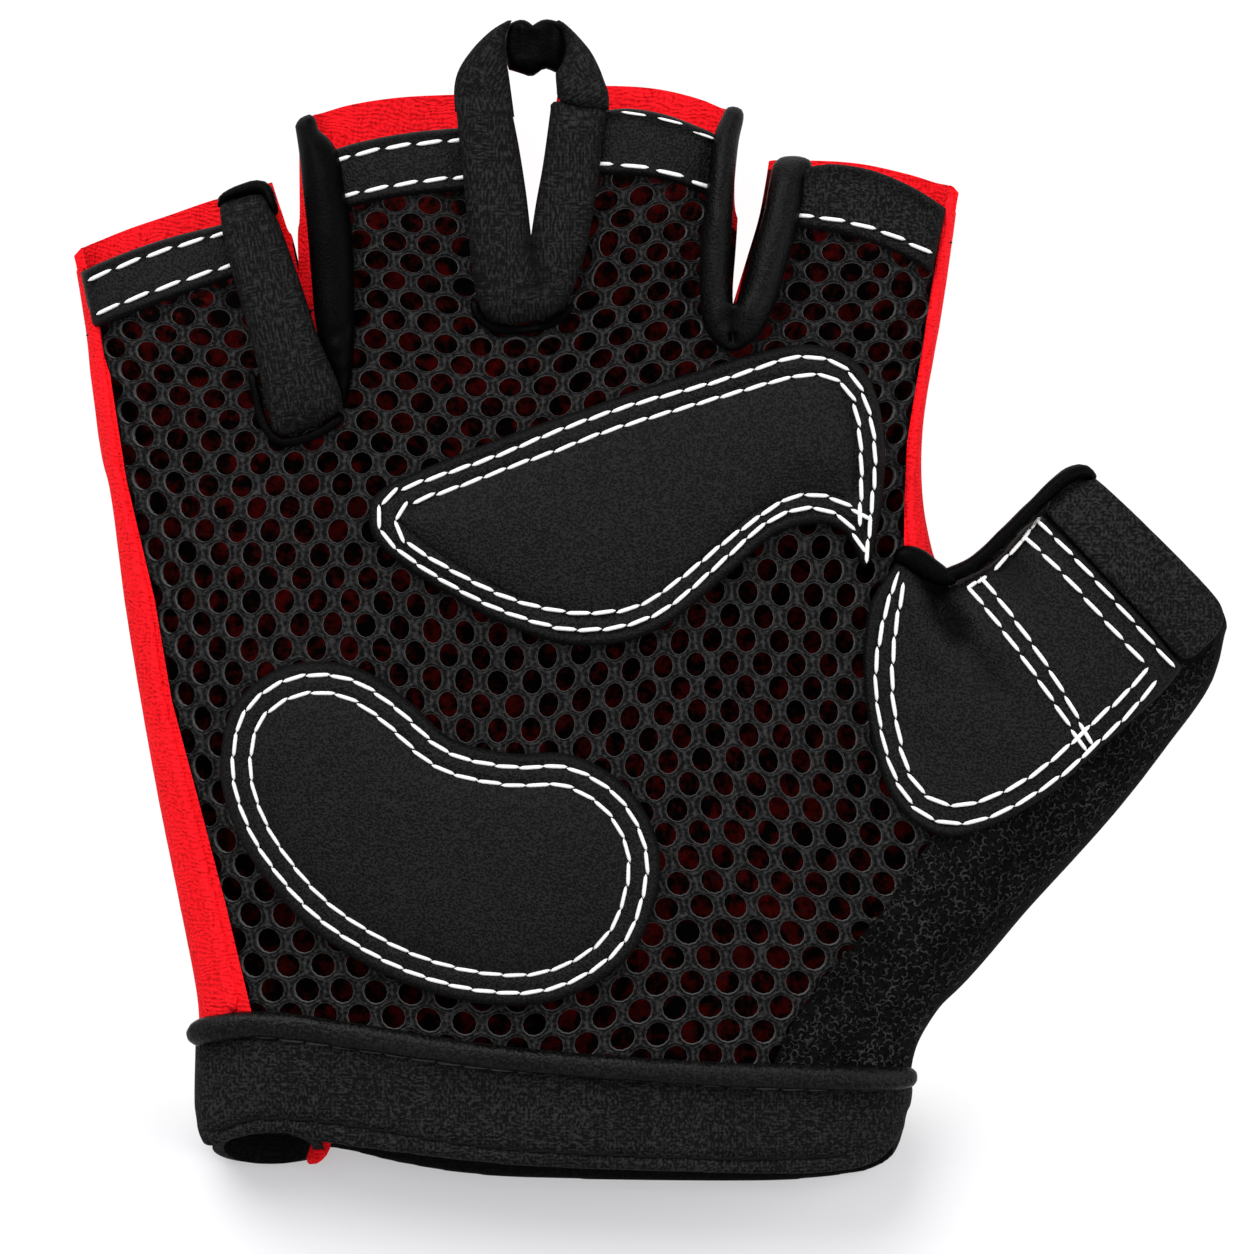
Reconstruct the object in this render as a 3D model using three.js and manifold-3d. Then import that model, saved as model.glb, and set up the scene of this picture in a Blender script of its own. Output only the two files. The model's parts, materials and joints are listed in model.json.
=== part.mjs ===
import * as THREE from "three";
import { mergeVertices, mergeGeometries } from "three/addons/utils/BufferGeometryUtils.js";
import Module from "manifold-3d";

const wasm = await Module();
wasm.setup();

// Weightlifting glove for a right hand, lying on its back with the palm up.
// X runs to the thumb, Y to the fingertips, Z out of the palm. Millimetres.
const gloveWidth = 162; // outer edge of the little finger to the thumb end
const gloveLength = 163; // top of the pull loop to the cuff hem
const palmHeight = 22; // table to the highest point of the palm
const clothWall = 1.6; // stretch cloth, net, terry and cuff
const leatherThickness = 1.5; // bands, thumb patch and web bindings
const padThickness = 3; // padded middle of the two palm pads
const padBorder = 3.4; // flat sewn border around the padding
const pipingBulge = 2.1; // rolled piping above the cuff
const pipingThickness = 3; // round piping on the thumb edge
const strapThickness = 5.6; // folded knit of the pull tab and the pull loop
const foldHeight = 9; // curled end of the cuff
const foldWall = 1.5;
const netPitch = 9.6; // gap to gap across the palm
const netRowPitch = 7.6; // gap row to gap row
const netGapWidth = 5.4;
const netGapLength = 6.6;
const netEdge = 1.2; // least net left beside a piece sewn over it
const seamGap = 0.3; // clearance between neighbouring pieces

const palmSides = 26;
const stallSides = 18;
const strapSides = 12;
const stallCorner = 0.8; // 1 is an ellipse, less is squarer
const palmCorner = 0.56;
const flatPower = 1.35; // how much of the underside lies flat
const splitShare = 0.3; // height, of the palm's, where palm and back pieces meet
const mouthPast = 0.04; // how far each tube runs past its mouth, of the glove length

// Tube sections. x and half follow the glove width, y the glove length, the
// heights the palm height; lean turns the section in plan, in degrees.
const palmSections = [
  { x: -0.084, y: -0.552, half: 0.305, lean: 0, top: 0.8, mid: 0.38, low: 0.0 },
  { x: -0.086, y: -0.485, half: 0.305, lean: 0, top: 0.82, mid: 0.38, low: 0.0 },
  { x: -0.083, y: -0.428, half: 0.309, lean: 0, top: 0.84, mid: 0.38, low: 0.0 },
  { x: -0.080, y: -0.385, half: 0.312, lean: 0, top: 0.86, mid: 0.38, low: 0.0 },
  { x: -0.068, y: -0.342, half: 0.325, lean: 0, top: 0.9, mid: 0.38, low: 0.0 },
  { x: -0.049, y: -0.256, half: 0.360, lean: 0, top: 0.97, mid: 0.38, low: 0.0 },
  { x: -0.067, y: -0.170, half: 0.360, lean: 0, top: 1.0, mid: 0.38, low: 0.0 },
  { x: -0.085, y: -0.085, half: 0.357, lean: 0, top: 1.0, mid: 0.38, low: 0.0 },
  { x: -0.100, y: 0.001, half: 0.356, lean: 0, top: 0.99, mid: 0.38, low: 0.0 },
  { x: -0.114, y: 0.087, half: 0.353, lean: 0, top: 0.96, mid: 0.38, low: 0.0 },
  { x: -0.121, y: 0.173, half: 0.361, lean: 0, top: 0.9, mid: 0.38, low: 0.0 },
  { x: -0.120, y: 0.233, half: 0.370, lean: 0, top: 0.82, mid: 0.38, low: 0.0 },
];
const littleSections = [
  { x: -0.370, y: 0.126, half: 0.106, lean: 6, top: 0.86, mid: 0.36, low: 0.0 },
  { x: -0.380, y: 0.173, half: 0.103, lean: 10, top: 0.84, mid: 0.36, low: 0.0 },
  { x: -0.393, y: 0.243, half: 0.098, lean: 14, top: 0.78, mid: 0.35, low: 0.0 },
  { x: -0.412, y: 0.324, half: 0.093, lean: 18, top: 0.68, mid: 0.34, low: 0.0 },
];
const ringSections = [
  { x: -0.192, y: 0.130, half: 0.106, lean: 0, top: 0.93, mid: 0.36, low: 0.0 },
  { x: -0.196, y: 0.199, half: 0.105, lean: 2, top: 0.88, mid: 0.36, low: 0.0 },
  { x: -0.203, y: 0.306, half: 0.101, lean: 5, top: 0.8, mid: 0.35, low: 0.0 },
  { x: -0.209, y: 0.430, half: 0.097, lean: 7, top: 0.74, mid: 0.34, low: 0.0 },
];
const middleSections = [
  { x: -0.006, y: 0.121, half: 0.097, lean: 0, top: 0.95, mid: 0.36, low: 0.0 },
  { x: -0.008, y: 0.190, half: 0.095, lean: -1, top: 0.9, mid: 0.36, low: 0.0 },
  { x: -0.013, y: 0.306, half: 0.088, lean: -3, top: 0.82, mid: 0.35, low: 0.0 },
  { x: -0.001, y: 0.436, half: 0.079, lean: -7, top: 0.76, mid: 0.34, low: 0.0 },
];
const indexSections = [
  { x: 0.141, y: 0.113, half: 0.094, lean: 0, top: 0.93, mid: 0.36, low: 0.0 },
  { x: 0.148, y: 0.173, half: 0.093, lean: -3, top: 0.88, mid: 0.36, low: 0.0 },
  { x: 0.164, y: 0.259, half: 0.092, lean: -6, top: 0.82, mid: 0.35, low: 0.0 },
  { x: 0.186, y: 0.370, half: 0.086, lean: -13.5, top: 0.74, mid: 0.34, low: 0.0 },
];
const thumbSections = [
  { x: 0.157, y: -0.282, half: 0.100, lean: -75, top: 0.86, mid: 0.38, low: 0.02 },
  { x: 0.219, y: -0.241, half: 0.113, lean: -71, top: 0.92, mid: 0.38, low: 0.02 },
  { x: 0.276, y: -0.146, half: 0.129, lean: -63, top: 0.97, mid: 0.4, low: 0.03 },
  { x: 0.328, y: -0.083, half: 0.128, lean: -56, top: 0.98, mid: 0.42, low: 0.05 },
  { x: 0.373, y: -0.039, half: 0.116, lean: -50, top: 0.96, mid: 0.44, low: 0.08 },
  { x: 0.414, y: 0.014, half: 0.102, lean: -49, top: 0.93, mid: 0.46, low: 0.11 },
  { x: 0.445, y: 0.043, half: 0.084, lean: -48.5, top: 0.9, mid: 0.48, low: 0.14 },
];

// Plan outlines. x follows the glove width and y the glove length.
const mouthTrim = [
  { x: -0.536, y: -0.558 }, { x: -0.536, y: 0.280 }, { x: -0.500, y: 0.295 }, { x: -0.490, y: 0.308 },
  { x: -0.458, y: 0.321 }, { x: -0.422, y: 0.333 }, { x: -0.379, y: 0.347 }, { x: -0.315, y: 0.364 },
  { x: -0.315, y: 0.415 }, { x: -0.264, y: 0.429 }, { x: -0.220, y: 0.436 }, { x: -0.169, y: 0.438 },
  { x: -0.097, y: 0.441 }, { x: -0.097, y: 0.446 }, { x: -0.039, y: 0.446 }, { x: 0.006, y: 0.443 },
  { x: 0.046, y: 0.434 }, { x: 0.090, y: 0.420 }, { x: 0.090, y: 0.386 }, { x: 0.137, y: 0.382 },
  { x: 0.184, y: 0.378 }, { x: 0.228, y: 0.369 }, { x: 0.254, y: 0.360 }, { x: 0.291, y: 0.345 },
  { x: 0.304, y: 0.104 }, { x: 0.356, y: 0.139 }, { x: 0.389, y: 0.106 }, { x: 0.502, y: -0.020 },
  { x: 0.555, y: -0.076 }, { x: 0.512, y: -0.256 }, { x: 0.304, y: -0.428 }, { x: 0.269, y: -0.558 },
];
const netOutline = [
  { x: -0.335, y: -0.406 }, { x: -0.340, y: -0.355 }, { x: -0.363, y: -0.256 },
  { x: -0.386, y: -0.170 }, { x: -0.409, y: -0.085 }, { x: -0.424, y: 0.001 }, { x: -0.449, y: 0.104 },
  { x: -0.464, y: 0.195 },
  { x: -0.478, y: 0.237 }, { x: -0.490, y: 0.290 }, { x: -0.432, y: 0.308 }, { x: -0.370, y: 0.326 },
  { x: -0.327, y: 0.339 }, { x: -0.302, y: 0.266 }, { x: -0.286, y: 0.267 }, { x: -0.287, y: 0.388 },
  { x: -0.271, y: 0.391 }, { x: -0.220, y: 0.402 }, { x: -0.166, y: 0.408 }, { x: -0.112, y: 0.412 },
  { x: -0.101, y: 0.305 }, { x: -0.088, y: 0.418 }, { x: -0.036, y: 0.424 }, { x: 0.014, y: 0.418 },
  { x: 0.055, y: 0.404 }, { x: 0.081, y: 0.395 }, { x: 0.073, y: 0.248 }, { x: 0.105, y: 0.374 },
  { x: 0.140, y: 0.376 }, { x: 0.194, y: 0.372 }, { x: 0.228, y: 0.358 }, { x: 0.256, y: 0.342 },
  { x: 0.246, y: 0.283 }, { x: 0.230, y: 0.190 }, { x: 0.221, y: 0.139 }, { x: 0.218, y: 0.083 },
  { x: 0.218, y: 0.039 }, { x: 0.205, y: 0.001 }, { x: 0.198, y: -0.067 }, { x: 0.205, y: -0.136 },
  { x: 0.223, y: -0.170 }, { x: 0.244, y: -0.198 }, { x: 0.202, y: -0.261 }, { x: 0.149, y: -0.321 },
  { x: 0.123, y: -0.358 }, { x: 0.094, y: -0.419 }, { x: -0.077, y: -0.415 }, { x: -0.221, y: -0.398 },
];
const terryOutline = [
  { x: 0.094, y: -0.421 }, { x: 0.123, y: -0.358 }, { x: 0.149, y: -0.321 }, { x: 0.202, y: -0.261 },
  { x: 0.244, y: -0.198 }, { x: 0.223, y: -0.170 }, { x: 0.205, y: -0.136 }, { x: 0.198, y: -0.067 },
  { x: 0.205, y: 0.001 }, { x: 0.218, y: 0.039 }, { x: 0.256, y: 0.030 }, { x: 0.279, y: 0.039 },
  { x: 0.315, y: 0.077 }, { x: 0.369, y: 0.126 }, { x: 0.434, y: 0.173 }, { x: 0.581, y: 0.036 },
  { x: 0.581, y: -0.102 },{ x: 0.434, y: -0.299 },{ x: 0.295, y: -0.421 },
];
const fingerMouths = [
  { finger: "little", outline: [
    { x: -0.528, y: 0.280 }, { x: -0.490, y: 0.290 }, { x: -0.370, y: 0.326 }, { x: -0.311, y: 0.344 },
    { x: -0.320, y: 0.388 }, { x: -0.528, y: 0.336 },
  ] },
  { finger: "ring", outline: [
    { x: -0.315, y: 0.386 }, { x: -0.271, y: 0.391 }, { x: -0.166, y: 0.408 }, { x: -0.098, y: 0.414 },
    { x: -0.098, y: 0.473 }, { x: -0.315, y: 0.456 },
  ] },
  { finger: "middle", outline: [
    { x: -0.094, y: 0.418 }, { x: -0.036, y: 0.424 }, { x: 0.014, y: 0.418 }, { x: 0.055, y: 0.404 },
    { x: 0.089, y: 0.392 }, { x: 0.089, y: 0.465 }, { x: -0.094, y: 0.473 },
  ] },
  { finger: "index", outline: [
    { x: 0.091, y: 0.373 }, { x: 0.140, y: 0.376 }, { x: 0.194, y: 0.372 }, { x: 0.228, y: 0.358 },
    { x: 0.256, y: 0.342 }, { x: 0.295, y: 0.326 }, { x: 0.295, y: 0.396 }, { x: 0.091, y: 0.422 },
  ] },
];
const cuffOutline = [
  { x: -0.432, y: -0.384 }, { x: -0.376, y: -0.375 }, { x: -0.344, y: -0.370 },
  { x: -0.308, y: -0.373 }, { x: -0.243, y: -0.382 }, { x: -0.157, y: -0.394 },
  { x: -0.077, y: -0.400 }, { x: 0.096, y: -0.412 },
  { x: 0.269, y: -0.417 },{ x: 0.269, y: -0.558 },{ x: -0.432, y: -0.558 },
];
const cuffPalmHem = [
  { x: -0.441, y: -0.454 }, { x: -0.385, y: -0.467 }, { x: -0.372, y: -0.473 },
  { x: -0.350, y: -0.461 }, { x: -0.318, y: -0.456 }, { x: -0.273, y: -0.465 },
  { x: -0.221, y: -0.471 }, { x: -0.157, y: -0.479 },
  { x: -0.077, y: -0.485 }, { x: 0.096, y: -0.490 }, { x: 0.176, y: -0.488 }, { x: 0.269, y: -0.479 },
  { x: 0.269, y: -0.591 }, { x: -0.441, y: -0.591 },
];
const cuffBackHem = [
  { x: -0.441, y: -0.458 }, { x: -0.375, y: -0.474 }, { x: -0.275, y: -0.471 },
  { x: -0.221, y: -0.482 }, { x: -0.157, y: -0.491 }, { x: -0.077, y: -0.496 },
  { x: 0.096, y: -0.500 }, { x: 0.186, y: -0.492 },
  { x: 0.269, y: -0.479 },{ x: 0.269, y: -0.591 },{ x: -0.441, y: -0.591 },
];
const cuffPipingOutline = [
  { x: -0.401, y: -0.373 }, { x: -0.389, y: -0.362 }, { x: -0.361, y: -0.356 },
  { x: -0.328, y: -0.354 }, { x: -0.286, y: -0.357 }, { x: -0.221, y: -0.366 },
  { x: -0.157, y: -0.378 }, { x: -0.077, y: -0.388 },
  { x: 0.044, y: -0.396 }, { x: 0.233, y: -0.400 }, { x: 0.237, y: -0.414 }, { x: 0.096, y: -0.413 },
  { x: -0.077, y: -0.400 }, { x: -0.157, y: -0.394 }, { x: -0.243, y: -0.382 },
  { x: -0.308, y: -0.373 },
  { x: -0.344, y: -0.370 },{ x: -0.376, y: -0.375 },{ x: -0.399, y: -0.384 },
];
const littleBand = [
  { x: -0.495, y: 0.284 }, { x: -0.490, y: 0.286 }, { x: -0.432, y: 0.304 }, { x: -0.377, y: 0.321 },
  { x: -0.367, y: 0.275 }, { x: -0.424, y: 0.257 }, { x: -0.480, y: 0.235 }, { x: -0.484, y: 0.233 },
];
const ringBand = [
  { x: -0.266, y: 0.388 }, { x: -0.220, y: 0.399 }, { x: -0.173, y: 0.405 }, { x: -0.163, y: 0.352 },
  { x: -0.211, y: 0.346 }, { x: -0.254, y: 0.337 },
];
const middleBand = [
  { x: -0.033, y: 0.420 }, { x: -0.008, y: 0.420 }, { x: 0.017, y: 0.416 }, { x: 0.049, y: 0.404 },
  { x: 0.042, y: 0.350 }, { x: 0.002, y: 0.364 }, { x: -0.039, y: 0.365 },
];
const indexBand = [
  { x: 0.144, y: 0.372 }, { x: 0.161, y: 0.375 }, { x: 0.194, y: 0.369 }, { x: 0.228, y: 0.355 },
  { x: 0.256, y: 0.339 }, { x: 0.244, y: 0.282 }, { x: 0.217, y: 0.297 }, { x: 0.172, y: 0.314 },
  { x: 0.133, y: 0.320 },
];
const upperPadOutline = [
  { x: -0.240, y: 0.071 }, { x: -0.231, y: 0.094 }, { x: -0.183, y: 0.117 }, { x: -0.125, y: 0.140 },
  { x: -0.066, y: 0.161 }, { x: -0.008, y: 0.181 }, { x: 0.051, y: 0.200 }, { x: 0.095, y: 0.213 },
  { x: 0.140, y: 0.219 }, { x: 0.177, y: 0.206 }, { x: 0.196, y: 0.175 }, { x: 0.204, y: 0.129 },
  { x: 0.198, y: 0.074 }, { x: 0.185, y: 0.034, tail: true }, { x: 0.174, y: 0.044, tail: true },
  { x: 0.162, y: 0.061 },
  { x: 0.140, y: 0.067 }, { x: 0.105, y: 0.055 }, { x: 0.066, y: 0.021 }, { x: 0.018, y: -0.019 },
  { x: -0.023, y: -0.035 }, { x: -0.073, y: -0.036 }, { x: -0.125, y: -0.019 },
  { x: -0.169, y: 0.004 },
  { x: -0.206, y: 0.027 },{ x: -0.233, y: 0.050 },
];
const heelPadOutline = [
  { x: -0.368, y: -0.142 }, { x: -0.359, y: -0.093 }, { x: -0.326, y: -0.061 },
  { x: -0.285, y: -0.051 }, { x: -0.244, y: -0.059 }, { x: -0.206, y: -0.085 },
  { x: -0.168, y: -0.117 }, { x: -0.118, y: -0.129 },
  { x: -0.068, y: -0.130 }, { x: -0.025, y: -0.152 }, { x: 0.001, y: -0.188 }, { x: 0.010, y: -0.230 },
  { x: -0.007, y: -0.288 }, { x: -0.042, y: -0.323 }, { x: -0.090, y: -0.343 },
  { x: -0.146, y: -0.343 },
  { x: -0.206, y: -0.327 }, { x: -0.259, y: -0.301 }, { x: -0.302, y: -0.268 },
  { x: -0.341, y: -0.220 }, { x: -0.360, y: -0.181 },
];
const thumbPatchOutline = [
  { x: 0.214, y: 0.033 }, { x: 0.192, y: 0.004 }, { x: 0.185, y: -0.030 }, { x: 0.184, y: -0.063 },
  { x: 0.187, y: -0.097 }, { x: 0.194, y: -0.131 }, { x: 0.206, y: -0.164 }, { x: 0.224, y: -0.187 },
  { x: 0.250, y: -0.200 }, { x: 0.274, y: -0.198 }, { x: 0.313, y: -0.182 }, { x: 0.347, y: -0.162 },
  { x: 0.380, y: -0.131 }, { x: 0.415, y: -0.102 }, { x: 0.443, y: -0.076 }, { x: 0.458, y: -0.056 },
  { x: 0.426, y: -0.018 }, { x: 0.392, y: 0.018 }, { x: 0.358, y: 0.055 }, { x: 0.339, y: 0.073 },
  { x: 0.321, y: 0.061 }, { x: 0.302, y: 0.039 }, { x: 0.282, y: 0.025 }, { x: 0.259, y: 0.017 },
  { x: 0.239, y: 0.021 },
];
const crotchWebOutline = [
  { x: 0.211, y: 0.035 }, { x: 0.221, y: 0.045 }, { x: 0.239, y: 0.039 }, { x: 0.258, y: 0.030 },
  { x: 0.259, y: 0.021 }, { x: 0.239, y: 0.024 },
];
const ringBindingOutline = [
  { x: -0.305, y: 0.407 }, { x: -0.300, y: 0.420 }, { x: -0.287, y: 0.420 }, { x: -0.273, y: 0.397 },
  { x: -0.268, y: 0.376 }, { x: -0.261, y: 0.345 }, { x: -0.256, y: 0.306 }, { x: -0.253, y: 0.250 },
  { x: -0.253, y: 0.206 }, { x: -0.256, y: 0.181 }, { x: -0.262, y: 0.165 }, { x: -0.272, y: 0.186 },
  { x: -0.280, y: 0.220 }, { x: -0.287, y: 0.232 }, { x: -0.291, y: 0.273 }, { x: -0.296, y: 0.332 },
];
const middleBindingOutline = [
  { x: 0.064, y: 0.421 }, { x: 0.069, y: 0.426 }, { x: 0.081, y: 0.424 }, { x: 0.084, y: 0.413 },
  { x: 0.081, y: 0.391 }, { x: 0.077, y: 0.353 }, { x: 0.074, y: 0.310 }, { x: 0.072, y: 0.251 },
  { x: 0.081, y: 0.271 }, { x: 0.090, y: 0.303 }, { x: 0.100, y: 0.334 }, { x: 0.106, y: 0.375 },
  { x: 0.114, y: 0.385 }, { x: 0.128, y: 0.385 }, { x: 0.140, y: 0.376 }, { x: 0.134, y: 0.366 },
  { x: 0.128, y: 0.329 }, { x: 0.124, y: 0.307 }, { x: 0.117, y: 0.283 }, { x: 0.108, y: 0.255 },
  { x: 0.097, y: 0.230 }, { x: 0.084, y: 0.219 }, { x: 0.072, y: 0.213 }, { x: 0.057, y: 0.219 },
  { x: 0.046, y: 0.237 }, { x: 0.043, y: 0.267 }, { x: 0.044, y: 0.311 }, { x: 0.049, y: 0.342 },
  { x: 0.053, y: 0.379 },
];
const thumbBandOutline = [
  { x: 0.321, y: 0.097 }, { x: 0.341, y: 0.080 }, { x: 0.358, y: 0.059 }, { x: 0.392, y: 0.023 },
  { x: 0.426, y: -0.013 }, { x: 0.464, y: -0.054 }, { x: 0.490, y: -0.085 }, { x: 0.564, y: -0.085 },
  { x: 0.502, y: -0.020 },{ x: 0.445, y: 0.043 },{ x: 0.389, y: 0.106 },{ x: 0.373, y: 0.156 },
];

// Runs of the soft bars. z follows the palm height, wide the glove width.
const pullTabRun = [
  { x: -0.354, y: 0.353, z: 0.62, wide: 0.040 },
  { x: -0.352, y: 0.334, z: 0.74, wide: 0.050 },
  { x: -0.344, y: 0.291, z: 0.83, wide: 0.054 },
  { x: -0.328, y: 0.229, z: 0.9, wide: 0.055 },
  { x: -0.309, y: 0.177, z: 0.94, wide: 0.054 },
  { x: -0.298, y: 0.147, z: 0.94, wide: 0.040 },
];
const loopLeftRun = [
  { x: -0.093, y: 0.248, z: 0.93, wide: 0.035 },
  { x: -0.114, y: 0.259, z: 0.95, wide: 0.049 },
  { x: -0.126, y: 0.290, z: 0.95, wide: 0.052 },
  { x: -0.132, y: 0.353, z: 0.9, wide: 0.054 },
  { x: -0.142, y: 0.422, z: 0.83, wide: 0.053 },
  { x: -0.141, y: 0.451, z: 0.78, wide: 0.047 },
  { x: -0.123, y: 0.473, z: 0.74, wide: 0.040 },
  { x: -0.093, y: 0.479, z: 0.72, wide: 0.036 },
];
const loopRightRun = [
  { x: -0.110, y: 0.248, z: 0.93, wide: 0.035 },
  { x: -0.088, y: 0.259, z: 0.95, wide: 0.049 },
  { x: -0.076, y: 0.290, z: 0.95, wide: 0.052 },
  { x: -0.071, y: 0.353, z: 0.9, wide: 0.052 },
  { x: -0.062, y: 0.422, z: 0.83, wide: 0.049 },
  { x: -0.063, y: 0.451, z: 0.78, wide: 0.045 },
  { x: -0.081, y: 0.473, z: 0.74, wide: 0.040 },
  { x: -0.108, y: 0.479, z: 0.72, wide: 0.036 },
];
const thumbPipingRun = [
  { x: 0.261, y: 0.024, z: 0.8, wide: 0.018 },
  { x: 0.282, y: 0.033, z: 0.8, wide: 0.018 },
  { x: 0.301, y: 0.050, z: 0.8, wide: 0.018 },
  { x: 0.319, y: 0.068, z: 0.8, wide: 0.018 },
  { x: 0.335, y: 0.084, z: 0.79, wide: 0.018 },
];
const foldOutline = { x: -0.330, width: 0.080, top: -0.435, bottom: -0.485, lip: -0.467 };
const closureTipOutline = [
  { x: -0.291, y: -0.431 }, { x: -0.277, y: -0.431 }, { x: -0.277, y: -0.468 },
  { x: -0.285, y: -0.479 }, { x: -0.291, y: -0.482 },
];

const splitHeight = palmHeight * splitShare;
const skyHeight = palmHeight * 2;

// Solids from geometry and back

function solidOf(geometry) {
  const bare = geometry.clone();
  bare.deleteAttribute("normal");
  bare.deleteAttribute("uv");
  const merged = mergeVertices(bare, 1e-4);
  const vertProperties = new Float32Array(merged.attributes.position.array);
  const triVerts = new Uint32Array(merged.index.array);
  return new wasm.Manifold(new wasm.Mesh({ numProp: 3, vertProperties, triVerts }));
}

function geometryOf(solid) {
  const mesh = solid.getMesh();
  const geometry = new THREE.BufferGeometry();
  geometry.setAttribute("position", new THREE.BufferAttribute(mesh.vertProperties, 3));
  geometry.setIndex(new THREE.BufferAttribute(mesh.triVerts, 1));
  geometry.computeVertexNormals();
  return geometry;
}

// A cut can shave off a crumb at a sharp corner; the piece is the biggest body.
function mainBody(solid) {
  const bodies = solid.decompose();
  return bodies.reduce((best, body) => (body.volume() > best.volume() ? body : best));
}

function joined(solids) {
  return solids.reduce((sum, solid) => sum.add(solid));
}

// Closed skin over rings of equal point count, capped at both ends.
function skinOver(rings) {
  const count = rings[0].length;
  const positions = rings.flat().flatMap((point) => [point.x, point.y, point.z]);
  const index = [];
  for (let ring = 0; ring + 1 < rings.length; ring += 1) {
    for (let side = 0; side < count; side += 1) {
      const next = (side + 1) % count;
      const a = ring * count + side;
      const b = ring * count + next;
      index.push(a, b, b + count, a, b + count, a + count);
    }
  }
  const last = (rings.length - 1) * count;
  for (let side = 1; side + 1 < count; side += 1) {
    index.push(0, side + 1, side);
    index.push(last, last + side, last + side + 1);
  }
  const geometry = new THREE.BufferGeometry();
  geometry.setAttribute("position", new THREE.Float32BufferAttribute(positions, 3));
  geometry.setIndex(index);
  return geometry;
}

function powered(value, power) {
  return Math.sign(value) * Math.abs(value) ** power;
}

// One section of a tube, grown outward by a distance, flat underneath.
function sectionRing(row, grow, corner, sides) {
  const lean = THREE.MathUtils.degToRad(row.lean);
  const half = row.half * gloveWidth + grow;
  const mid = row.mid * palmHeight;
  const low = row.low * palmHeight - grow;
  const rise = row.top * palmHeight + grow - mid;
  const drop = (mid - low) * flatPower;
  const ring = [];
  for (let side = 0; side < sides; side += 1) {
    const turn = (-side / sides) * Math.PI * 2;
    const across = powered(Math.cos(turn), corner) * half;
    const lift = powered(Math.sin(turn), corner);
    const height = lift > 0 ? mid + lift * rise : Math.max(low, mid + lift * drop);
    const x = row.x * gloveWidth + across * Math.cos(lean);
    const y = row.y * gloveLength + across * Math.sin(lean);
    ring.push(new THREE.Vector3(x, y, height));
  }
  return ring;
}

// Tube through its sections, run on past the mouth so that a cut opens it.
function tubeBody(rows, grow) {
  const end = rows[rows.length - 1];
  const lean = THREE.MathUtils.degToRad(end.lean);
  const past = mouthPast * gloveLength;
  const beyond = {
    ...end,
    x: end.x - (Math.sin(lean) * past) / gloveWidth,
    y: end.y + (Math.cos(lean) * past) / gloveLength,
  };
  const rings = [...rows, beyond].map((row) => sectionRing(row, grow, stallCorner, stallSides));
  return solidOf(skinOver(rings));
}

function handBody(grow) {
  const palmRings = palmSections.map((row) => sectionRing(row, grow, palmCorner, palmSides));
  const stalls = [littleSections, ringSections, middleSections, indexSections, thumbSections];
  const tubes = stalls.map((rows) => tubeBody(rows, grow));
  return joined([solidOf(skinOver(palmRings)), ...tubes]);
}

function planPoints(rows) {
  return rows.map((row) => new THREE.Vector2(row.x * gloveWidth, row.y * gloveLength));
}

// Outline moved outward by a distance, inward when the distance is negative.
function grownPoints(points, distance) {
  const area = THREE.ShapeUtils.area(points);
  const outward = Math.sign(area) * distance;
  return points.map((point, at) => {
    const before = points[(at + points.length - 1) % points.length];
    const after = points[(at + 1) % points.length];
    const into = point.clone().sub(before).normalize();
    const out = after.clone().sub(point).normalize();
    const normal = new THREE.Vector2(into.y + out.y, -into.x - out.x).normalize();
    const spread = Math.max(0.5, normal.dot(new THREE.Vector2(out.y, -out.x)));
    return point.clone().addScaledVector(normal, outward / spread);
  });
}

function prismOf(points, low, high) {
  const geometry = new THREE.ExtrudeGeometry(new THREE.Shape(points), {
    depth: high - low,
    bevelEnabled: false,
  });
  geometry.translate(0, 0, low);
  return solidOf(geometry);
}

function palmSideCut(rows, grow) {
  return prismOf(grownPoints(planPoints(rows), grow), splitHeight - grow, skyHeight);
}

function fullCut(rows, grow) {
  return prismOf(grownPoints(planPoints(rows), grow), -palmHeight, skyHeight);
}

const handSurface = handBody(0);
const handCleared = handBody(seamGap);
const handShell = handSurface.subtract(handBody(-clothWall)).intersect(fullCut(mouthTrim, 0));

// Leather or padding laid on the glove inside an outline.
function laidOn(rows, thickness) {
  const layer = handBody(seamGap + thickness).subtract(handCleared);
  return layer.intersect(palmSideCut(rows, 0)).intersect(fullCut(mouthTrim, 0));
}

// Flat border with a padded middle; a narrow tail stays flat.
function padOn(rows) {
  const body = rows.filter((row) => !row.tail);
  const middle = grownPoints(planPoints(body), -padBorder);
  const puff = handBody(seamGap + padThickness).subtract(handCleared);
  return laidOn(rows, leatherThickness).add(puff.intersect(prismOf(middle, splitHeight, skyHeight)));
}

// Soft bar of rounded section along a run of points.
function softBar(rows, thickness) {
  const spots = rows.map(
    (row) => new THREE.Vector3(row.x * gloveWidth, row.y * gloveLength, row.z * palmHeight),
  );
  const curve = new THREE.CatmullRomCurve3(spots, false, "centripetal");
  const up = new THREE.Vector3(0, 0, 1);
  const rings = spots.map((spot, at) => {
    const tangent = curve.getTangent(at / (spots.length - 1));
    const side = new THREE.Vector3().crossVectors(tangent, up).normalize();
    const top = new THREE.Vector3().crossVectors(side, tangent).normalize();
    const ring = [];
    for (let step = 0; step < strapSides; step += 1) {
      const turn = (step / strapSides) * Math.PI * 2;
      const across = (powered(Math.cos(turn), stallCorner) * rows[at].wide * gloveWidth) / 2;
      const lift = (powered(Math.sin(turn), stallCorner) * thickness) / 2;
      ring.push(spot.clone().addScaledVector(side, across).addScaledVector(top, lift));
    }
    return ring;
  });
  return solidOf(skinOver(rings.map((ring) => ring.reverse())));
}

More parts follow.
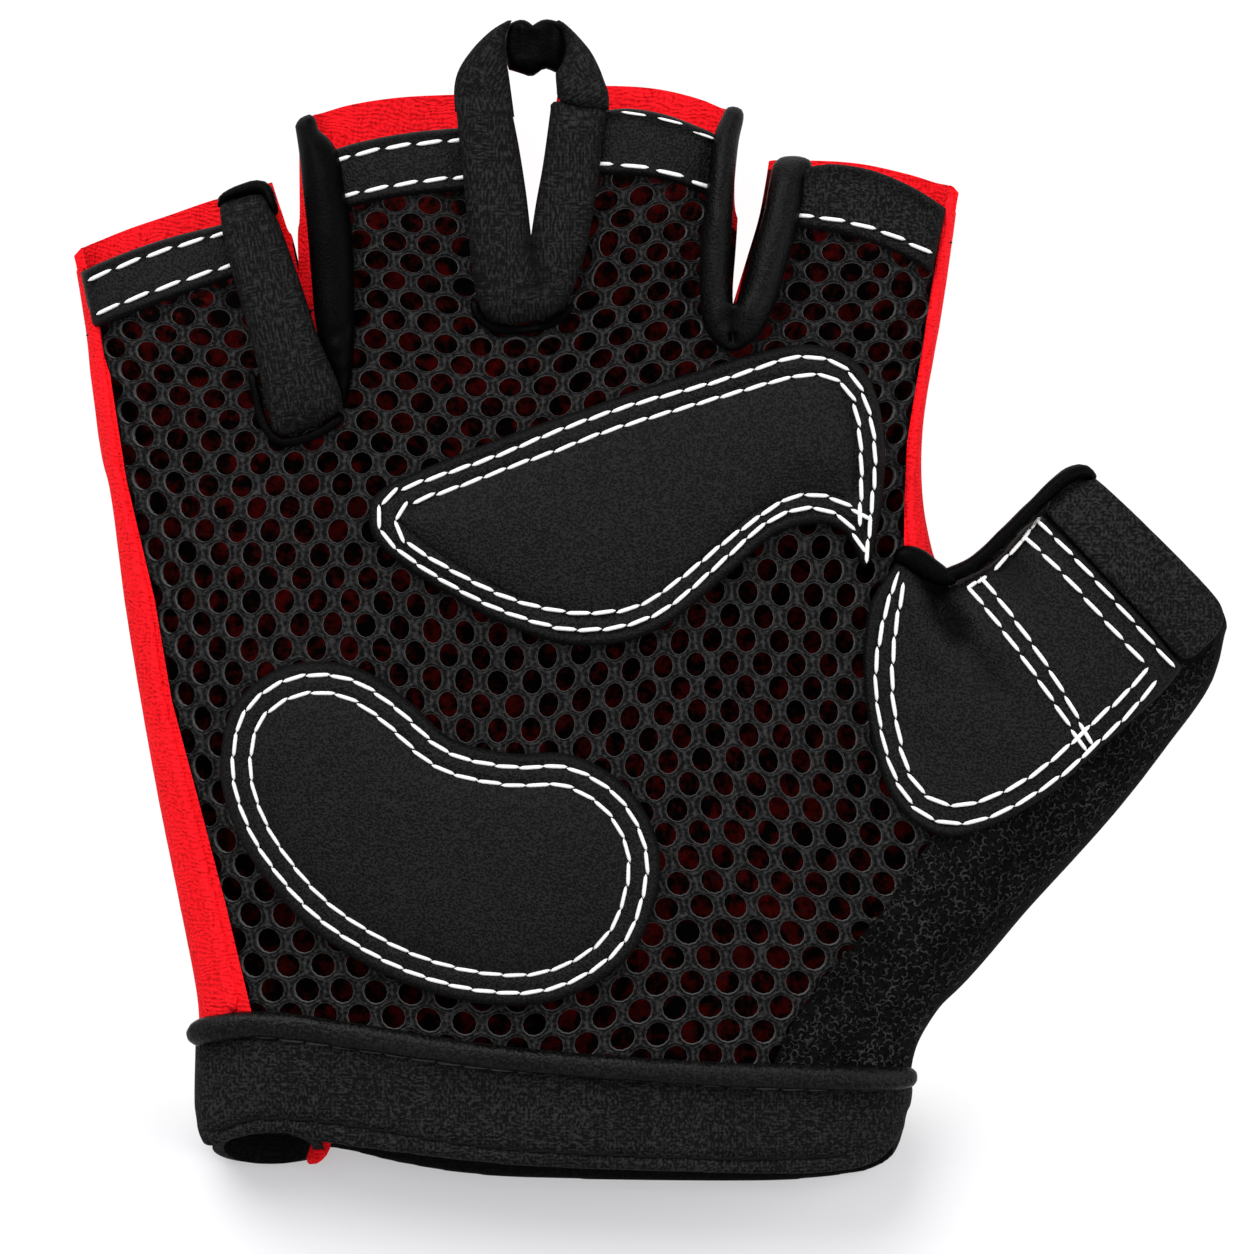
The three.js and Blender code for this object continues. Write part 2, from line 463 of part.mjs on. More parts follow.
function insideOutline(point, points) {
  let inside = false;
  points.forEach((corner, at) => {
    const other = points[(at + points.length - 1) % points.length];
    const spans = corner.y > point.y !== other.y > point.y;
    const slope = (other.x - corner.x) / (other.y - corner.y);
    if (spans && point.x < corner.x + slope * (point.y - corner.y)) {
      inside = !inside;
    }
  });
  return inside;
}

// Gap centres in staggered rows where nothing is sewn over the net.
function netCentres(covers) {
  const field = grownPoints(planPoints(netOutline), -(netGapWidth / 2 + netEdge));
  const keepOut = covers.map((rows) => grownPoints(planPoints(rows), netGapWidth / 2 + netEdge));
  const centres = [];
  const rowCount = Math.ceil(gloveLength / netRowPitch);
  const columnCount = Math.ceil(gloveWidth / netPitch);
  for (let row = -rowCount; row <= rowCount; row += 1) {
    for (let column = -columnCount; column <= columnCount; column += 1) {
      const stagger = row % 2 === 0 ? 0 : netPitch / 2;
      const centre = new THREE.Vector2(column * netPitch + stagger, row * netRowPitch);
      const free = keepOut.every((points) => !insideOutline(centre, points));
      if (insideOutline(centre, field) && free) {
        centres.push(centre);
      }
    }
  }
  return centres;
}

function netGaps(covers) {
  const sixth = Math.PI / 3;
  const prisms = netCentres(covers).map((centre) => {
    const corners = [0, 1, 2, 3, 4, 5].map((corner) => {
      const turn = corner * sixth + sixth / 2;
      const x = centre.x + (Math.cos(turn) * netGapWidth) / 2 / Math.cos(sixth / 2);
      const y = centre.y + (Math.sin(turn) * netGapLength) / 2;
      return new THREE.Vector2(x, y);
    });
    return prismOf(corners, splitHeight, skyHeight);
  });
  return joined(prisms);
}

function asCover(run) {
  return run.map((row) => ({ x: row.x, y: row.y }));
}

// Outline around a run of a bar, for keeping net gaps clear of it.
function runCover(rows) {
  const left = rows.map((row) => ({ x: row.x - row.wide / 2, y: row.y }));
  const right = rows.map((row) => ({ x: row.x + row.wide / 2, y: row.y }));
  return [...asCover(left), ...asCover(right).reverse()];
}

// The pieces

const cuffAll = fullCut(cuffOutline, 0);
const aboveCuff = handShell.subtract(fullCut(cuffOutline, seamGap));

const mouthCuts = fingerMouths.map((mouth) => palmSideCut(mouth.outline, seamGap));
const palmSideTaken = joined([
  palmSideCut(netOutline, seamGap),
  palmSideCut(terryOutline, seamGap),
  ...mouthCuts,
]);
const backPanel = mainBody(aboveCuff.subtract(palmSideTaken));

const covers = [
  upperPadOutline,
  heelPadOutline,
  littleBand,
  ringBand,
  middleBand,
  indexBand,
  ringBindingOutline,
  middleBindingOutline,
  thumbPatchOutline,
  cuffPipingOutline,
  runCover(pullTabRun),
  runCover(loopLeftRun),
  runCover(loopRightRun),
];
const netSheet = aboveCuff.intersect(palmSideCut(netOutline, 0));
const palmNet = mainBody(netSheet.subtract(netGaps(covers)));

const terrySheet = aboveCuff.intersect(palmSideCut(terryOutline, 0));
const terryPanel = mainBody(terrySheet.subtract(palmSideCut(netOutline, seamGap)));

const hemCuts = joined([
  palmSideCut(cuffPalmHem, 0),
  prismOf(planPoints(cuffBackHem), -palmHeight, splitHeight),
]);
const wristCuff = mainBody(handShell.intersect(cuffAll).subtract(hemCuts));
const cuffPiping = mainBody(laidOn(cuffPipingOutline, pipingBulge));

const crotchWeb = mainBody(laidOn(crotchWebOutline, leatherThickness));
const thumbPatch = mainBody(
  laidOn(thumbPatchOutline, leatherThickness).subtract(palmSideCut(crotchWebOutline, seamGap)),
);
const thumbBand = mainBody(
  handBody(seamGap + leatherThickness)
    .subtract(handCleared)
    .intersect(fullCut(thumbBandOutline, 0))
    .subtract(fullCut(thumbPatchOutline, seamGap)),
);
const thumbPiping = mainBody(
  softBar(thumbPipingRun, pipingThickness)
    .subtract(handCleared)
    .subtract(fullCut(thumbPatchOutline, seamGap))
    .subtract(fullCut(thumbBandOutline, seamGap))
    .subtract(fullCut(crotchWebOutline, seamGap)),
);

const upperPad = mainBody(padOn(upperPadOutline));
const heelPad = mainBody(padOn(heelPadOutline));

const ringBinding = mainBody(laidOn(ringBindingOutline, pipingBulge));
const middleBinding = mainBody(laidOn(middleBindingOutline, pipingBulge));

const pullTab = mainBody(
  softBar(pullTabRun, strapThickness)
    .subtract(handCleared)
    .subtract(palmSideCut(ringBindingOutline, seamGap))
    .subtract(palmSideCut(littleBand, seamGap)),
);
const pullLoop = mainBody(
  softBar(loopLeftRun, strapThickness)
    .add(softBar(loopRightRun, strapThickness))
    .subtract(handCleared)
    .subtract(palmSideCut(ringBand, seamGap))
    .subtract(palmSideCut(middleBand, seamGap)),
);

// Curled cuff end: a flattened tube, its upper side cut back to the lip.
function foldRing(half, height, y) {
  const ring = [];
  for (let step = 0; step < strapSides; step += 1) {
    const turn = (-step / strapSides) * Math.PI * 2;
    const x = foldOutline.x * gloveWidth + Math.cos(turn) * half;
    const z = clothWall + seamGap + foldHeight / 2 + (Math.sin(turn) * height) / 2;
    ring.push(new THREE.Vector3(x, y, z));
  }
  return ring;
}

function foldTube(shrink) {
  const half = (foldOutline.width * gloveWidth) / 2 - shrink;
  const height = foldHeight - shrink * 2;
  const top = foldOutline.top * gloveLength + shrink;
  const bottom = foldOutline.bottom * gloveLength - shrink;
  return solidOf(skinOver([foldRing(half, height, bottom), foldRing(half, height, top)]));
}

const foldReach = foldOutline.width * gloveWidth;
const foldX = foldOutline.x * gloveWidth;
const foldLip = [
  new THREE.Vector2(foldX - foldReach, foldOutline.lip * gloveLength),
  new THREE.Vector2(foldX - foldReach, foldOutline.lip * gloveLength - foldReach),
  new THREE.Vector2(foldX + foldReach, foldOutline.lip * gloveLength - foldReach),
  new THREE.Vector2(foldX + foldReach, foldOutline.lip * gloveLength),
];
const foldLipCut = prismOf(foldLip, clothWall + seamGap + foldHeight / 2, skyHeight);
const cuffFold = mainBody(foldTube(0).subtract(foldTube(foldWall)).subtract(foldLipCut).subtract(wristCuff));

const closureTip = prismOf(
  planPoints(closureTipOutline),
  clothWall + seamGap,
  clothWall + seamGap + leatherThickness,
);

// Colours as the photograph shows them
const redCloth = { color: "#e0060f", roughness: 0.82 };
const netCloth = { color: "#26262a", roughness: 0.86 };
const terryCloth = { color: "#0f0f11", roughness: 0.97 };
const leather = { color: "#1d1d1f", roughness: 0.58 };
const smoothLeather = { color: "#161618", roughness: 0.52 };
const knit = { color: "#232326", roughness: 0.9 };

const pieces = [
  { name: "back_panel", solid: backPanel, look: redCloth },
  { name: "palm_net", solid: palmNet, look: netCloth },
  { name: "terry_panel", solid: terryPanel, look: terryCloth },
  { name: "wrist_cuff", solid: wristCuff, look: knit },
  { name: "cuff_piping", solid: cuffPiping, look: smoothLeather },
  { name: "cuff_fold", solid: cuffFold, look: knit },
  { name: "closure_tip", solid: closureTip, look: redCloth },
  { name: "upper_palm_pad", solid: upperPad, look: leather },
  { name: "heel_palm_pad", solid: heelPad, look: leather },
  { name: "thumb_patch", solid: thumbPatch, look: leather },
  { name: "thumb_end_band", solid: thumbBand, look: knit },
  { name: "thumb_piping", solid: thumbPiping, look: smoothLeather },
  { name: "thumb_crotch_web", solid: crotchWeb, look: smoothLeather },
  { name: "little_finger_band", solid: mainBody(laidOn(littleBand, leatherThickness)), look: leather },
  { name: "ring_finger_band", solid: mainBody(laidOn(ringBand, leatherThickness)), look: leather },
  { name: "middle_finger_band", solid: mainBody(laidOn(middleBand, leatherThickness)), look: leather },
  { name: "index_finger_band", solid: mainBody(laidOn(indexBand, leatherThickness)), look: leather },
  { name: "ring_web_binding", solid: ringBinding, look: smoothLeather },
  { name: "middle_web_binding", solid: middleBinding, look: smoothLeather },
  { name: "little_ring_pull_tab", solid: pullTab, look: knit },
  { name: "ring_middle_pull_loop", solid: pullLoop, look: knit },
];

const glove = new THREE.Group();
glove.name = "weightlifting_glove";
pieces.forEach((piece) => {
  const material = new THREE.MeshStandardMaterial({ ...piece.look, metalness: 0 });
  const mesh = new THREE.Mesh(geometryOf(piece.solid), material);
  mesh.name = piece.name;
  glove.add(mesh);
});

// The origin is the middle of the glove's footprint, on the table.
const box = new THREE.Box3().setFromObject(glove);
const middle = box.getCenter(new THREE.Vector3());
glove.position.set(-middle.x, -middle.y, -box.min.z);

export default glove;
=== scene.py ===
import json
import math
import bpy
import bmesh
import numpy as np
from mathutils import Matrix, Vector
from mathutils.bvhtree import BVHTree
from mathutils.geometry import delaunay_2d_cdt, tessellate_polygon

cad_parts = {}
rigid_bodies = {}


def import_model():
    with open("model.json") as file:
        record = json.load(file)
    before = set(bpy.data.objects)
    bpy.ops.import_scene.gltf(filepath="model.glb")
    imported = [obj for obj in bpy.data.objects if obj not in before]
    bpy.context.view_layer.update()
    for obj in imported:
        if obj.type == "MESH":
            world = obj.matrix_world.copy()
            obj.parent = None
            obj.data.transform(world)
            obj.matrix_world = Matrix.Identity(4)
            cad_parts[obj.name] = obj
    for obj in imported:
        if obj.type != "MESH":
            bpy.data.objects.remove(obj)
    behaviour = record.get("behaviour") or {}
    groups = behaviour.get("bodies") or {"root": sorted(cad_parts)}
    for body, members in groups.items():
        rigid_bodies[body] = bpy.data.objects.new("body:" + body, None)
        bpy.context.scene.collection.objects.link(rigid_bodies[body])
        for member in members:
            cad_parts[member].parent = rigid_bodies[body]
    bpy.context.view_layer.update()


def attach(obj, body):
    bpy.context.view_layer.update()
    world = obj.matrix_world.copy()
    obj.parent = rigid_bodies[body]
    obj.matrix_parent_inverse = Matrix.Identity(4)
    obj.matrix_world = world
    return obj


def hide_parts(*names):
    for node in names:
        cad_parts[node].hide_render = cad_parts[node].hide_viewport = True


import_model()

# sizes in metres; plan tables hold shares of width and length, heights shares of palm height
glove = {
    "width": 0.162, "length": 0.163, "palmHeight": 0.022, "shiftX": -0.00077, "shiftY": 0.00028,
    "voxel": 0.00098, "wall": 0.0014, "stallCorner": 0.8, "palmCorner": 0.56, "flat": 1.35, "split": 0.3,
    "mouthPast": 0.04, "seam": 0.0003, "hem": 0.0015, "below": -0.02, "above": 0.06,
}
splitZ = glove["palmHeight"] * glove["split"]
skyZ = glove["palmHeight"] * 2.0
fullTurn = 6.283
waveCount = {"ripple": 7, "bar": 6}

# columns: x, y, half width, lean in degrees, top, mid, low
palmSections = [
    (-0.0841, -0.5524, 0.305, 0, 0.8, 0.38, 0.0), (-0.0858, -0.4845, 0.305, 0, 0.82, 0.38, 0.0),
    (-0.0832, -0.4279, 0.3094, 0, 0.84, 0.38, 0.0), (-0.0797, -0.385, 0.312, 0, 0.86, 0.38, 0.0),
    (-0.0676, -0.3421, 0.325, 0, 0.9, 0.38, 0.0), (-0.0494, -0.2562, 0.3596, 0, 0.97, 0.38, 0.0),
    (-0.0667, -0.1704, 0.3596, 0, 1.0, 0.38, 0.0), (-0.0849, -0.0845, 0.357, 0, 1.0, 0.38, 0.0),
    (-0.0997, 0.0013, 0.3562, 0, 0.99, 0.38, 0.0), (-0.1144, 0.0871, 0.3527, 0, 0.96, 0.38, 0.0),
    (-0.1213, 0.173, 0.3614, 0, 0.9, 0.38, 0.0), (-0.1196, 0.233, 0.37, 0, 0.82, 0.38, 0.0),
]
stallSections = {
    "little": [
        (-0.37, 0.1258, 0.1057, 6, 0.86, 0.36, 0.0), (-0.3795, 0.173, 0.1031, 10, 0.84, 0.36, 0.0),
        (-0.3934, 0.2433, 0.0979, 14, 0.78, 0.35, 0.0), (-0.4125, 0.324, 0.0927, 18, 0.68, 0.34, 0.0),
    ],
    "ring": [
        (-0.1915, 0.13, 0.1057, 0, 0.93, 0.36, 0.0), (-0.1958, 0.1987, 0.1049, 2, 0.88, 0.36, 0.0),
        (-0.2028, 0.306, 0.1014, 5, 0.8, 0.35, 0.0), (-0.2088, 0.4305, 0.0971, 7, 0.74, 0.34, 0.0),
    ],
    "middle": [
        (-0.0061, 0.1215, 0.0971, 0, 0.95, 0.36, 0.0), (-0.0078, 0.1901, 0.0953, -1, 0.9, 0.36, 0.0),
        (-0.013, 0.306, 0.0884, -3, 0.82, 0.35, 0.0), (-0.0009, 0.4356, 0.0789, -7, 0.76, 0.34, 0.0),
    ],
    "index": [
        (0.1412, 0.1129, 0.0936, 0, 0.93, 0.36, 0.0), (0.1482, 0.173, 0.0927, -3, 0.88, 0.36, 0.0),
        (0.1638, 0.2588, 0.0919, -6, 0.82, 0.35, 0.0), (0.1863, 0.3695, 0.0858, -13.5, 0.74, 0.34, 0.0),
    ],
    "thumb": [
        (0.1568, -0.282, 0.0997, -75, 0.86, 0.38, 0.02), (0.2192, -0.2408, 0.1127, -71, 0.92, 0.38, 0.02),
        (0.2756, -0.1464, 0.1291, -63, 0.97, 0.4, 0.03), (0.3284, -0.0828, 0.1282, -56, 0.98, 0.42, 0.05),
        (0.3735, -0.0391, 0.1161, -50, 0.96, 0.44, 0.08), (0.4177, 0.0099, 0.1075, -49, 0.93, 0.46, 0.11),
        (0.4454, 0.0433, 0.0841, -48.5, 0.9, 0.48, 0.14),
    ],
}
mouthTrim = [
    (-0.5364, -0.5584, 1), (-0.5364, 0.2588, 1), (-0.5139, 0.2725), (-0.5087, 0.2897), (-0.4991, 0.3026),
    (-0.4879, 0.312), (-0.4575, 0.3249), (-0.422, 0.3369), (-0.3787, 0.3515), (-0.3224, 0.3652, 1),
    (-0.318, 0.3481, 1), (-0.3102, 0.312), (-0.3033, 0.2811, 1), (-0.305, 0.3137), (-0.3059, 0.3532),
    (-0.3076, 0.4099, 1), (-0.2929, 0.4236, 1), (-0.2643, 0.433), (-0.2201, 0.4399), (-0.169, 0.4425),
    (-0.1265, 0.4433, 1), (-0.1196, 0.4219, 1), (-0.1144, 0.3884), (-0.1083, 0.3386), (-0.1014, 0.3086, 1),
    (-0.0953, 0.3532), (-0.0901, 0.3884), (-0.0849, 0.4305, 1), (-0.0815, 0.4485, 1), (-0.039, 0.4502),
    (0.0061, 0.4476), (0.0459, 0.4382), (0.0676, 0.4279), (0.0841, 0.4202, 1), (0.0823, 0.3927),
    (0.0789, 0.3549), (0.0763, 0.3112), (0.0737, 0.276), (0.0737, 0.2588, 1), (0.078, 0.2734),
    (0.0867, 0.3017), (0.0962, 0.3335), (0.1023, 0.3652), (0.1049, 0.3824, 1), (0.1369, 0.385),
    (0.1837, 0.3824), (0.2279, 0.373), (0.2548, 0.3644), (0.2643, 0.3609), (0.2712, 0.3532),
    (0.2738, 0.3395, 1), (0.3042, 0.324, 1), (0.3042, 0.1043, 1), (0.3562, 0.1386, 1), (0.3839, 0.106, 1),
    (0.4359, 0.0528), (0.4792, 0.0116), (0.4948, -0.009), (0.5017, -0.0296), (0.5, -0.0554),
    (0.5312, -0.1017, 1), (0.5121, -0.2562, 1), (0.3042, -0.4279, 1), (0.2695, -0.5584, 1),
]
netOutline = [
    (-0.3354, -0.4064), (-0.3397, -0.3549), (-0.3631, -0.2562), (-0.3856, -0.1704), (-0.409, -0.0845),
    (-0.4237, 0.0013), (-0.4489, 0.1043), (-0.4636, 0.1953), (-0.4783, 0.2373), (-0.4896, 0.2897),
    (-0.4324, 0.3077), (-0.37, 0.3258), (-0.3354, 0.3378), (-0.3146, 0.2571), (-0.2912, 0.2124),
    (-0.2799, 0.2416), (-0.2799, 0.3876), (-0.2712, 0.391), (-0.2201, 0.4021), (-0.1664, 0.4082),
    (-0.1118, 0.4124), (-0.1005, 0.3052), (-0.0875, 0.4185), (-0.0364, 0.4236), (0.0139, 0.4185),
    (0.0555, 0.4039), (0.0806, 0.3953), (0.0728, 0.2485), (0.1049, 0.3738), (0.1404, 0.3755),
    (0.1941, 0.3721), (0.2279, 0.3584), (0.2565, 0.3421), (0.2461, 0.2828), (0.2296, 0.1901),
    (0.221, 0.1386), (0.2184, 0.0828), (0.2175, 0.0391), (0.2045, 0.0013), (0.1984, -0.0674),
    (0.2054, -0.1361), (0.2227, -0.1704), (0.2435, -0.1979), (0.2019, -0.2605), (0.149, -0.3215),
    (0.1231, -0.3584), (0.0945, -0.4193), (-0.0771, -0.415), (-0.221, -0.3979),
]
terryOutline = [
    (0.0945, -0.421), (0.1231, -0.3584), (0.149, -0.3215), (0.2019, -0.2605), (0.2435, -0.1979),
    (0.2227, -0.1704), (0.2054, -0.1361), (0.1984, -0.0674), (0.2045, 0.0013), (0.2175, 0.0391),
    (0.2565, 0.0296), (0.279, 0.0391), (0.3154, 0.0768), (0.3692, 0.1258), (0.4341, 0.173),
    (0.5815, 0.0356), (0.5815, -0.1017), (0.4341, -0.2991), (0.2955, -0.421),
]
fingerMouths = [
    [
        (-0.5277, 0.2803), (-0.4896, 0.2897), (-0.37, 0.3258), (-0.3111, 0.3438), (-0.3198, 0.3876),
        (-0.5277, 0.3361),
    ],
    [
        (-0.3154, 0.3858), (-0.2712, 0.391), (-0.1664, 0.4082), (-0.0979, 0.4142), (-0.0979, 0.4734),
        (-0.3154, 0.4562),
    ],
    [
        (-0.0936, 0.4176), (-0.0364, 0.4236), (0.0139, 0.4185), (0.0555, 0.4039), (0.0893, 0.3918),
        (0.0893, 0.4648), (-0.0936, 0.4734),
    ],
    [
        (0.091, 0.373), (0.1404, 0.3755), (0.1941, 0.3721), (0.2279, 0.3584), (0.2565, 0.3421),
        (0.2955, 0.3258), (0.2955, 0.3961), (0.091, 0.4219),
    ],
]
cuffTop = [
    (-0.4324, -0.3841), (-0.3761, -0.3747), (-0.344, -0.3704), (-0.3076, -0.373), (-0.2426, -0.3815),
    (-0.1568, -0.3936), (-0.0771, -0.4004), (0.0962, -0.4116), (0.2695, -0.4167),
]


# small tools
def toPlan(rows):
    # shares of width and length turned into metres
    return np.array([(row[0] * glove["width"] + glove["shiftX"], row[1] * glove["length"] + glove["shiftY"])
                     for row in rows])


def walked(points):
    # distance along a run at each of its points
    return np.concatenate([[0.0], np.cumsum(np.linalg.norm(np.diff(points, axis=0), axis=1))])


def pointsAt(points, along, at):
    return np.stack([np.interp(at, along, points[:, axis]) for axis in range(points.shape[1])], axis=1)


def resample(points, spacing, closed):
    run = np.vstack([points, points[:1]]) if closed else points
    along = walked(run)
    count = max(3, int(round(along[-1] / spacing)))
    out = pointsAt(run, along, np.linspace(0.0, along[-1], count + 1))
    return out[:-1] if closed else out


def roundCurve(points, closed, perSpan=14):
    # Catmull-Rom through the points
    count = len(points)
    pick = (lambda i: points[i % count]) if closed else (lambda i: points[min(max(i, 0), count - 1)])
    t = np.linspace(0.0, 1.0, perSpan, endpoint=False)[:, None]
    spans = []
    for i in range(count if closed else count - 1):
        a, b, c, d = pick(i - 1), pick(i), pick(i + 1), pick(i + 2)
        spans.append(0.5 * (2 * b + (c - a) * t + (2 * a - 5 * b + 4 * c - d) * t ** 2
                            + (3 * b - a - 3 * c + d) * t ** 3))
    run = np.vstack(spans)
    return run if closed else np.vstack([run, points[-1:]])


def smoothLoop(rows, spacing):
    # closed outline; rows with a third column of 1 stay sharp corners
    points = toPlan(rows)
    corners = [i for i, row in enumerate(rows) if len(row) > 2]
    if not corners:
        return resample(roundCurve(points, True), spacing, True)
    pieces = []
    for at, first in enumerate(corners):
        last = corners[(at + 1) % len(corners)]
        span = [(first + k) % len(rows) for k in range(((last - first - 1) % len(rows)) + 2)]
        pieces.append(resample(roundCurve(points[span], False), spacing, False)[:-1])
    return np.vstack(pieces)


def grown(loop, distance):
    before, after = np.roll(loop, 1, axis=0), np.roll(loop, -1, axis=0)
    run = after - before
    run /= np.maximum(np.linalg.norm(run, axis=1, keepdims=True), 1e-12)
    area = 0.5 * np.sum(loop[:, 0] * after[:, 1] - after[:, 0] * loop[:, 1])
    normal = np.stack([run[:, 1], -run[:, 0]], axis=1) * np.sign(area)
    return loop + normal * distance


def edgeDistance(points, loop, batch=1500):
    # worked out in batches, to save memory
    start, run = loop[None], (np.roll(loop, -1, axis=0) - loop)[None]
    out = np.empty(len(points))
    for low in range(0, len(points), batch):
        away = points[low:low + batch, None, :] - start
        t = np.clip(np.sum(away * run, axis=2) / np.maximum(np.sum(run * run, axis=2), 1e-18), 0, 1)
        out[low:low + batch] = np.sqrt(np.min(np.sum((away - run * t[..., None]) ** 2, axis=2), axis=1))
    return out


def insideLoop(points, loop):
    x, y = points[:, 0][:, None], points[:, 1][:, None]
    ax, ay = loop[:, 0][None], loop[:, 1][None]
    bx, by = np.roll(loop[:, 0], -1)[None], np.roll(loop[:, 1], -1)[None]
    spans = (ay > y) != (by > y)
    safe = np.where(np.abs(by - ay) < 1e-15, 1e-15, by - ay)
    return (np.sum(spans & (x < ax + (bx - ax) * (y - ay) / safe), axis=1) % 2) == 1


def smoothStep(value):
    value = np.clip(value, 0.0, 1.0)
    return value * value * (3 - 2 * value)


def roundEdge(far, reach, least=0.0):
    # a quarter circle from the edge inwards
    return np.sqrt(np.clip(1 - (1 - np.clip(far / reach, 0, 1)) ** 2, least, 1))


def turnOf(a, b, c):
    # above zero where a, b and c run anticlockwise in plan
    return (b[0] - a[0]) * (c[1] - a[1]) - (b[1] - a[1]) * (c[0] - a[0])


def upFace(verts, face):
    # the same triangle, made to face up
    a, b, c = face
    return (a, b, c) if turnOf(verts[a], verts[b], verts[c]) > 0 else (a, c, b)


def linkUp(name, data):
    thing = bpy.data.objects.new(name, data)
    bpy.context.scene.collection.objects.link(thing)
    return thing


def smoothFaces(thing):
    thing.data.polygons.foreach_set("use_smooth", [True] * len(thing.data.polygons))


def makeObject(name, verts, faces, smooth=True):
    mesh = bpy.data.meshes.new(name)
    mesh.from_pydata([tuple(v) for v in verts], [], [tuple(f) for f in faces])
    mesh.update()
    thing = linkUp(name, mesh)
    if smooth:
        smoothFaces(thing)
    return thing


def plainMesh(thing):
    deps = bpy.context.evaluated_depsgraph_get()
    return bpy.data.meshes.new_from_object(thing.evaluated_get(deps), depsgraph=deps)


def bake(thing):
    # the result of the modifiers becomes the object's own mesh
    mesh, old = plainMesh(thing), thing.data
    thing.modifiers.clear()
    thing.data = mesh
    if old.users == 0:
        bpy.data.batch_remove([old])
    return thing


def drop(thing):
    bpy.data.objects.remove(thing, do_unlink=True)


def copyOf(thing, name):
    other = thing.copy()
    other.data = thing.data.copy()
    other.name = name
    bpy.context.scene.collection.objects.link(other)
    return other


def readMesh(thing):
    co = np.empty(len(thing.data.vertices) * 3)
    thing.data.vertices.foreach_get("co", co)
    return co.reshape(-1, 3), [tuple(face.vertices) for face in thing.data.polygons]


def mergeParts(parts):
    # points and faces of several parts in one list of each
    verts, faces, offset = [], [], 0
    for points, polygons in parts:
        verts.append(points)
        faces.extend([tuple(i + offset for i in polygon) for polygon in polygons])
        offset += len(points)
    return np.vstack(verts), faces


def joinObjects(things, name):
    verts, faces = mergeParts([readMesh(thing) for thing in things])
    for thing in things:
        drop(thing)
    return makeObject(name, verts, faces)


def writeLayer(thing, name, kind, values):
    # a value or vector on each point, which the materials and patterns read
    layer = thing.data.attributes.new(name, kind, "POINT")
    layer.data.foreach_set("vector" if kind == "FLOAT_VECTOR" else "value", np.ravel(values))


def prism(name, loop, low=glove["below"], high=glove["above"]):
    # a plan outline pulled up into a closed block
    count = len(loop)
    verts = [(x, y, z) for z in (low, high) for x, y in loop]
    lid = np.array(tessellate_polygon([[Vector((x, y, 0)) for x, y in loop]]))
    if np.sum(turnOf(*(np.array(loop)[lid[:, k]].T for k in range(3)))) < 0:
        lid = lid[:, ::-1]
    faces = [(a, c, b) for a, b, c in lid.tolist()]
    faces += [(a + count, b + count, c + count) for a, b, c in lid.tolist()]
    area = sum(loop[i - 1][0] * loop[i][1] - loop[i][0] * loop[i - 1][1] for i in range(count))
    for i in range(count):
        j = (i + 1) % count
        faces.append((i, j, j + count, i + count) if area > 0 else (j, i, i + count, j + count))
    return makeObject(name, verts, faces, smooth=False)


def combine(thing, other, operation):
    cutter = thing.modifiers.new("cut", "BOOLEAN")
    cutter.solver = "MANIFOLD"
    cutter.operation = operation
    cutter.object = other
    bake(thing)
    drop(other)
    return thing


def remeshed(thing, voxel, factor, passes):
    # one soft skin over everything that overlaps
    remesh = thing.modifiers.new("remesh", "REMESH")
    remesh.mode = "VOXEL"
    remesh.voxel_size = voxel
    smooth = thing.modifiers.new("smooth", "SMOOTH")
    smooth.factor = factor
    smooth.iterations = passes
    return bake(thing)


# the hand form that every cloth piece follows
def powered(value, power):
    return np.sign(value) * np.abs(value) ** power


def sectionRing(row, corner, sides):
    x, y, half, lean, top, mid, low = row
    turn = -np.arange(sides) / sides * 2 * math.pi
    height = glove["palmHeight"]
    across = powered(np.cos(turn), corner) * half * glove["width"]
    lift = powered(np.sin(turn), corner)
    sink = (mid - low) * height * glove["flat"]
    z = np.where(lift > 0, mid * height + lift * (top - mid) * height,
                 np.maximum(low * height, mid * height + lift * sink))
    lean = math.radians(lean)
    px = x * glove["width"] + glove["shiftX"] + across * math.cos(lean)
    py = y * glove["length"] + glove["shiftY"] + across * math.sin(lean)
    return np.stack([px, py, z], axis=1)


def tubeSkin(rings):
    count = len(rings[0])
    faces = []
    for ring in range(len(rings) - 1):
        for side in range(count):
            a, b = ring * count + side, ring * count + (side + 1) % count
            faces.append((a, b, b + count, a + count))
    faces.append(tuple(range(count - 1, -1, -1)))
    faces.append(tuple(range((len(rings) - 1) * count, len(rings) * count)))
    return np.vstack(rings), faces


def smoothRows(rows, perSpan):
    return roundCurve(np.array(rows, dtype=float), False, perSpan)


def pastMouth(end):
    # one more section, straight on from the last, so that the cut for the mouth is clean
    lean, past = math.radians(end[3]), glove["mouthPast"] * glove["length"]
    return (end[0] - math.sin(lean) * past / glove["width"],
            end[1] + math.cos(lean) * past / glove["length"]) + tuple(end[2:])


def buildForm():
    tubes = [tubeSkin([sectionRing(row, glove["palmCorner"], 96) for row in smoothRows(palmSections, 6)])]
    for rows in stallSections.values():
        rows = [tuple(row) for row in smoothRows(rows, 8)]
        rows.append(pastMouth(rows[-1]))
        tubes.append(tubeSkin([sectionRing(row, glove["stallCorner"], 64) for row in rows]))
    return remeshed(makeObject("handForm", *mergeParts(tubes)), glove["voxel"], 0.6, 10)


def offsetForm(form, distance, name):
    other = copyOf(form, name)
    push = other.modifiers.new("push", "DISPLACE")
    push.direction = "NORMAL"
    push.mid_level = 0.0
    push.strength = distance
    return bake(other)


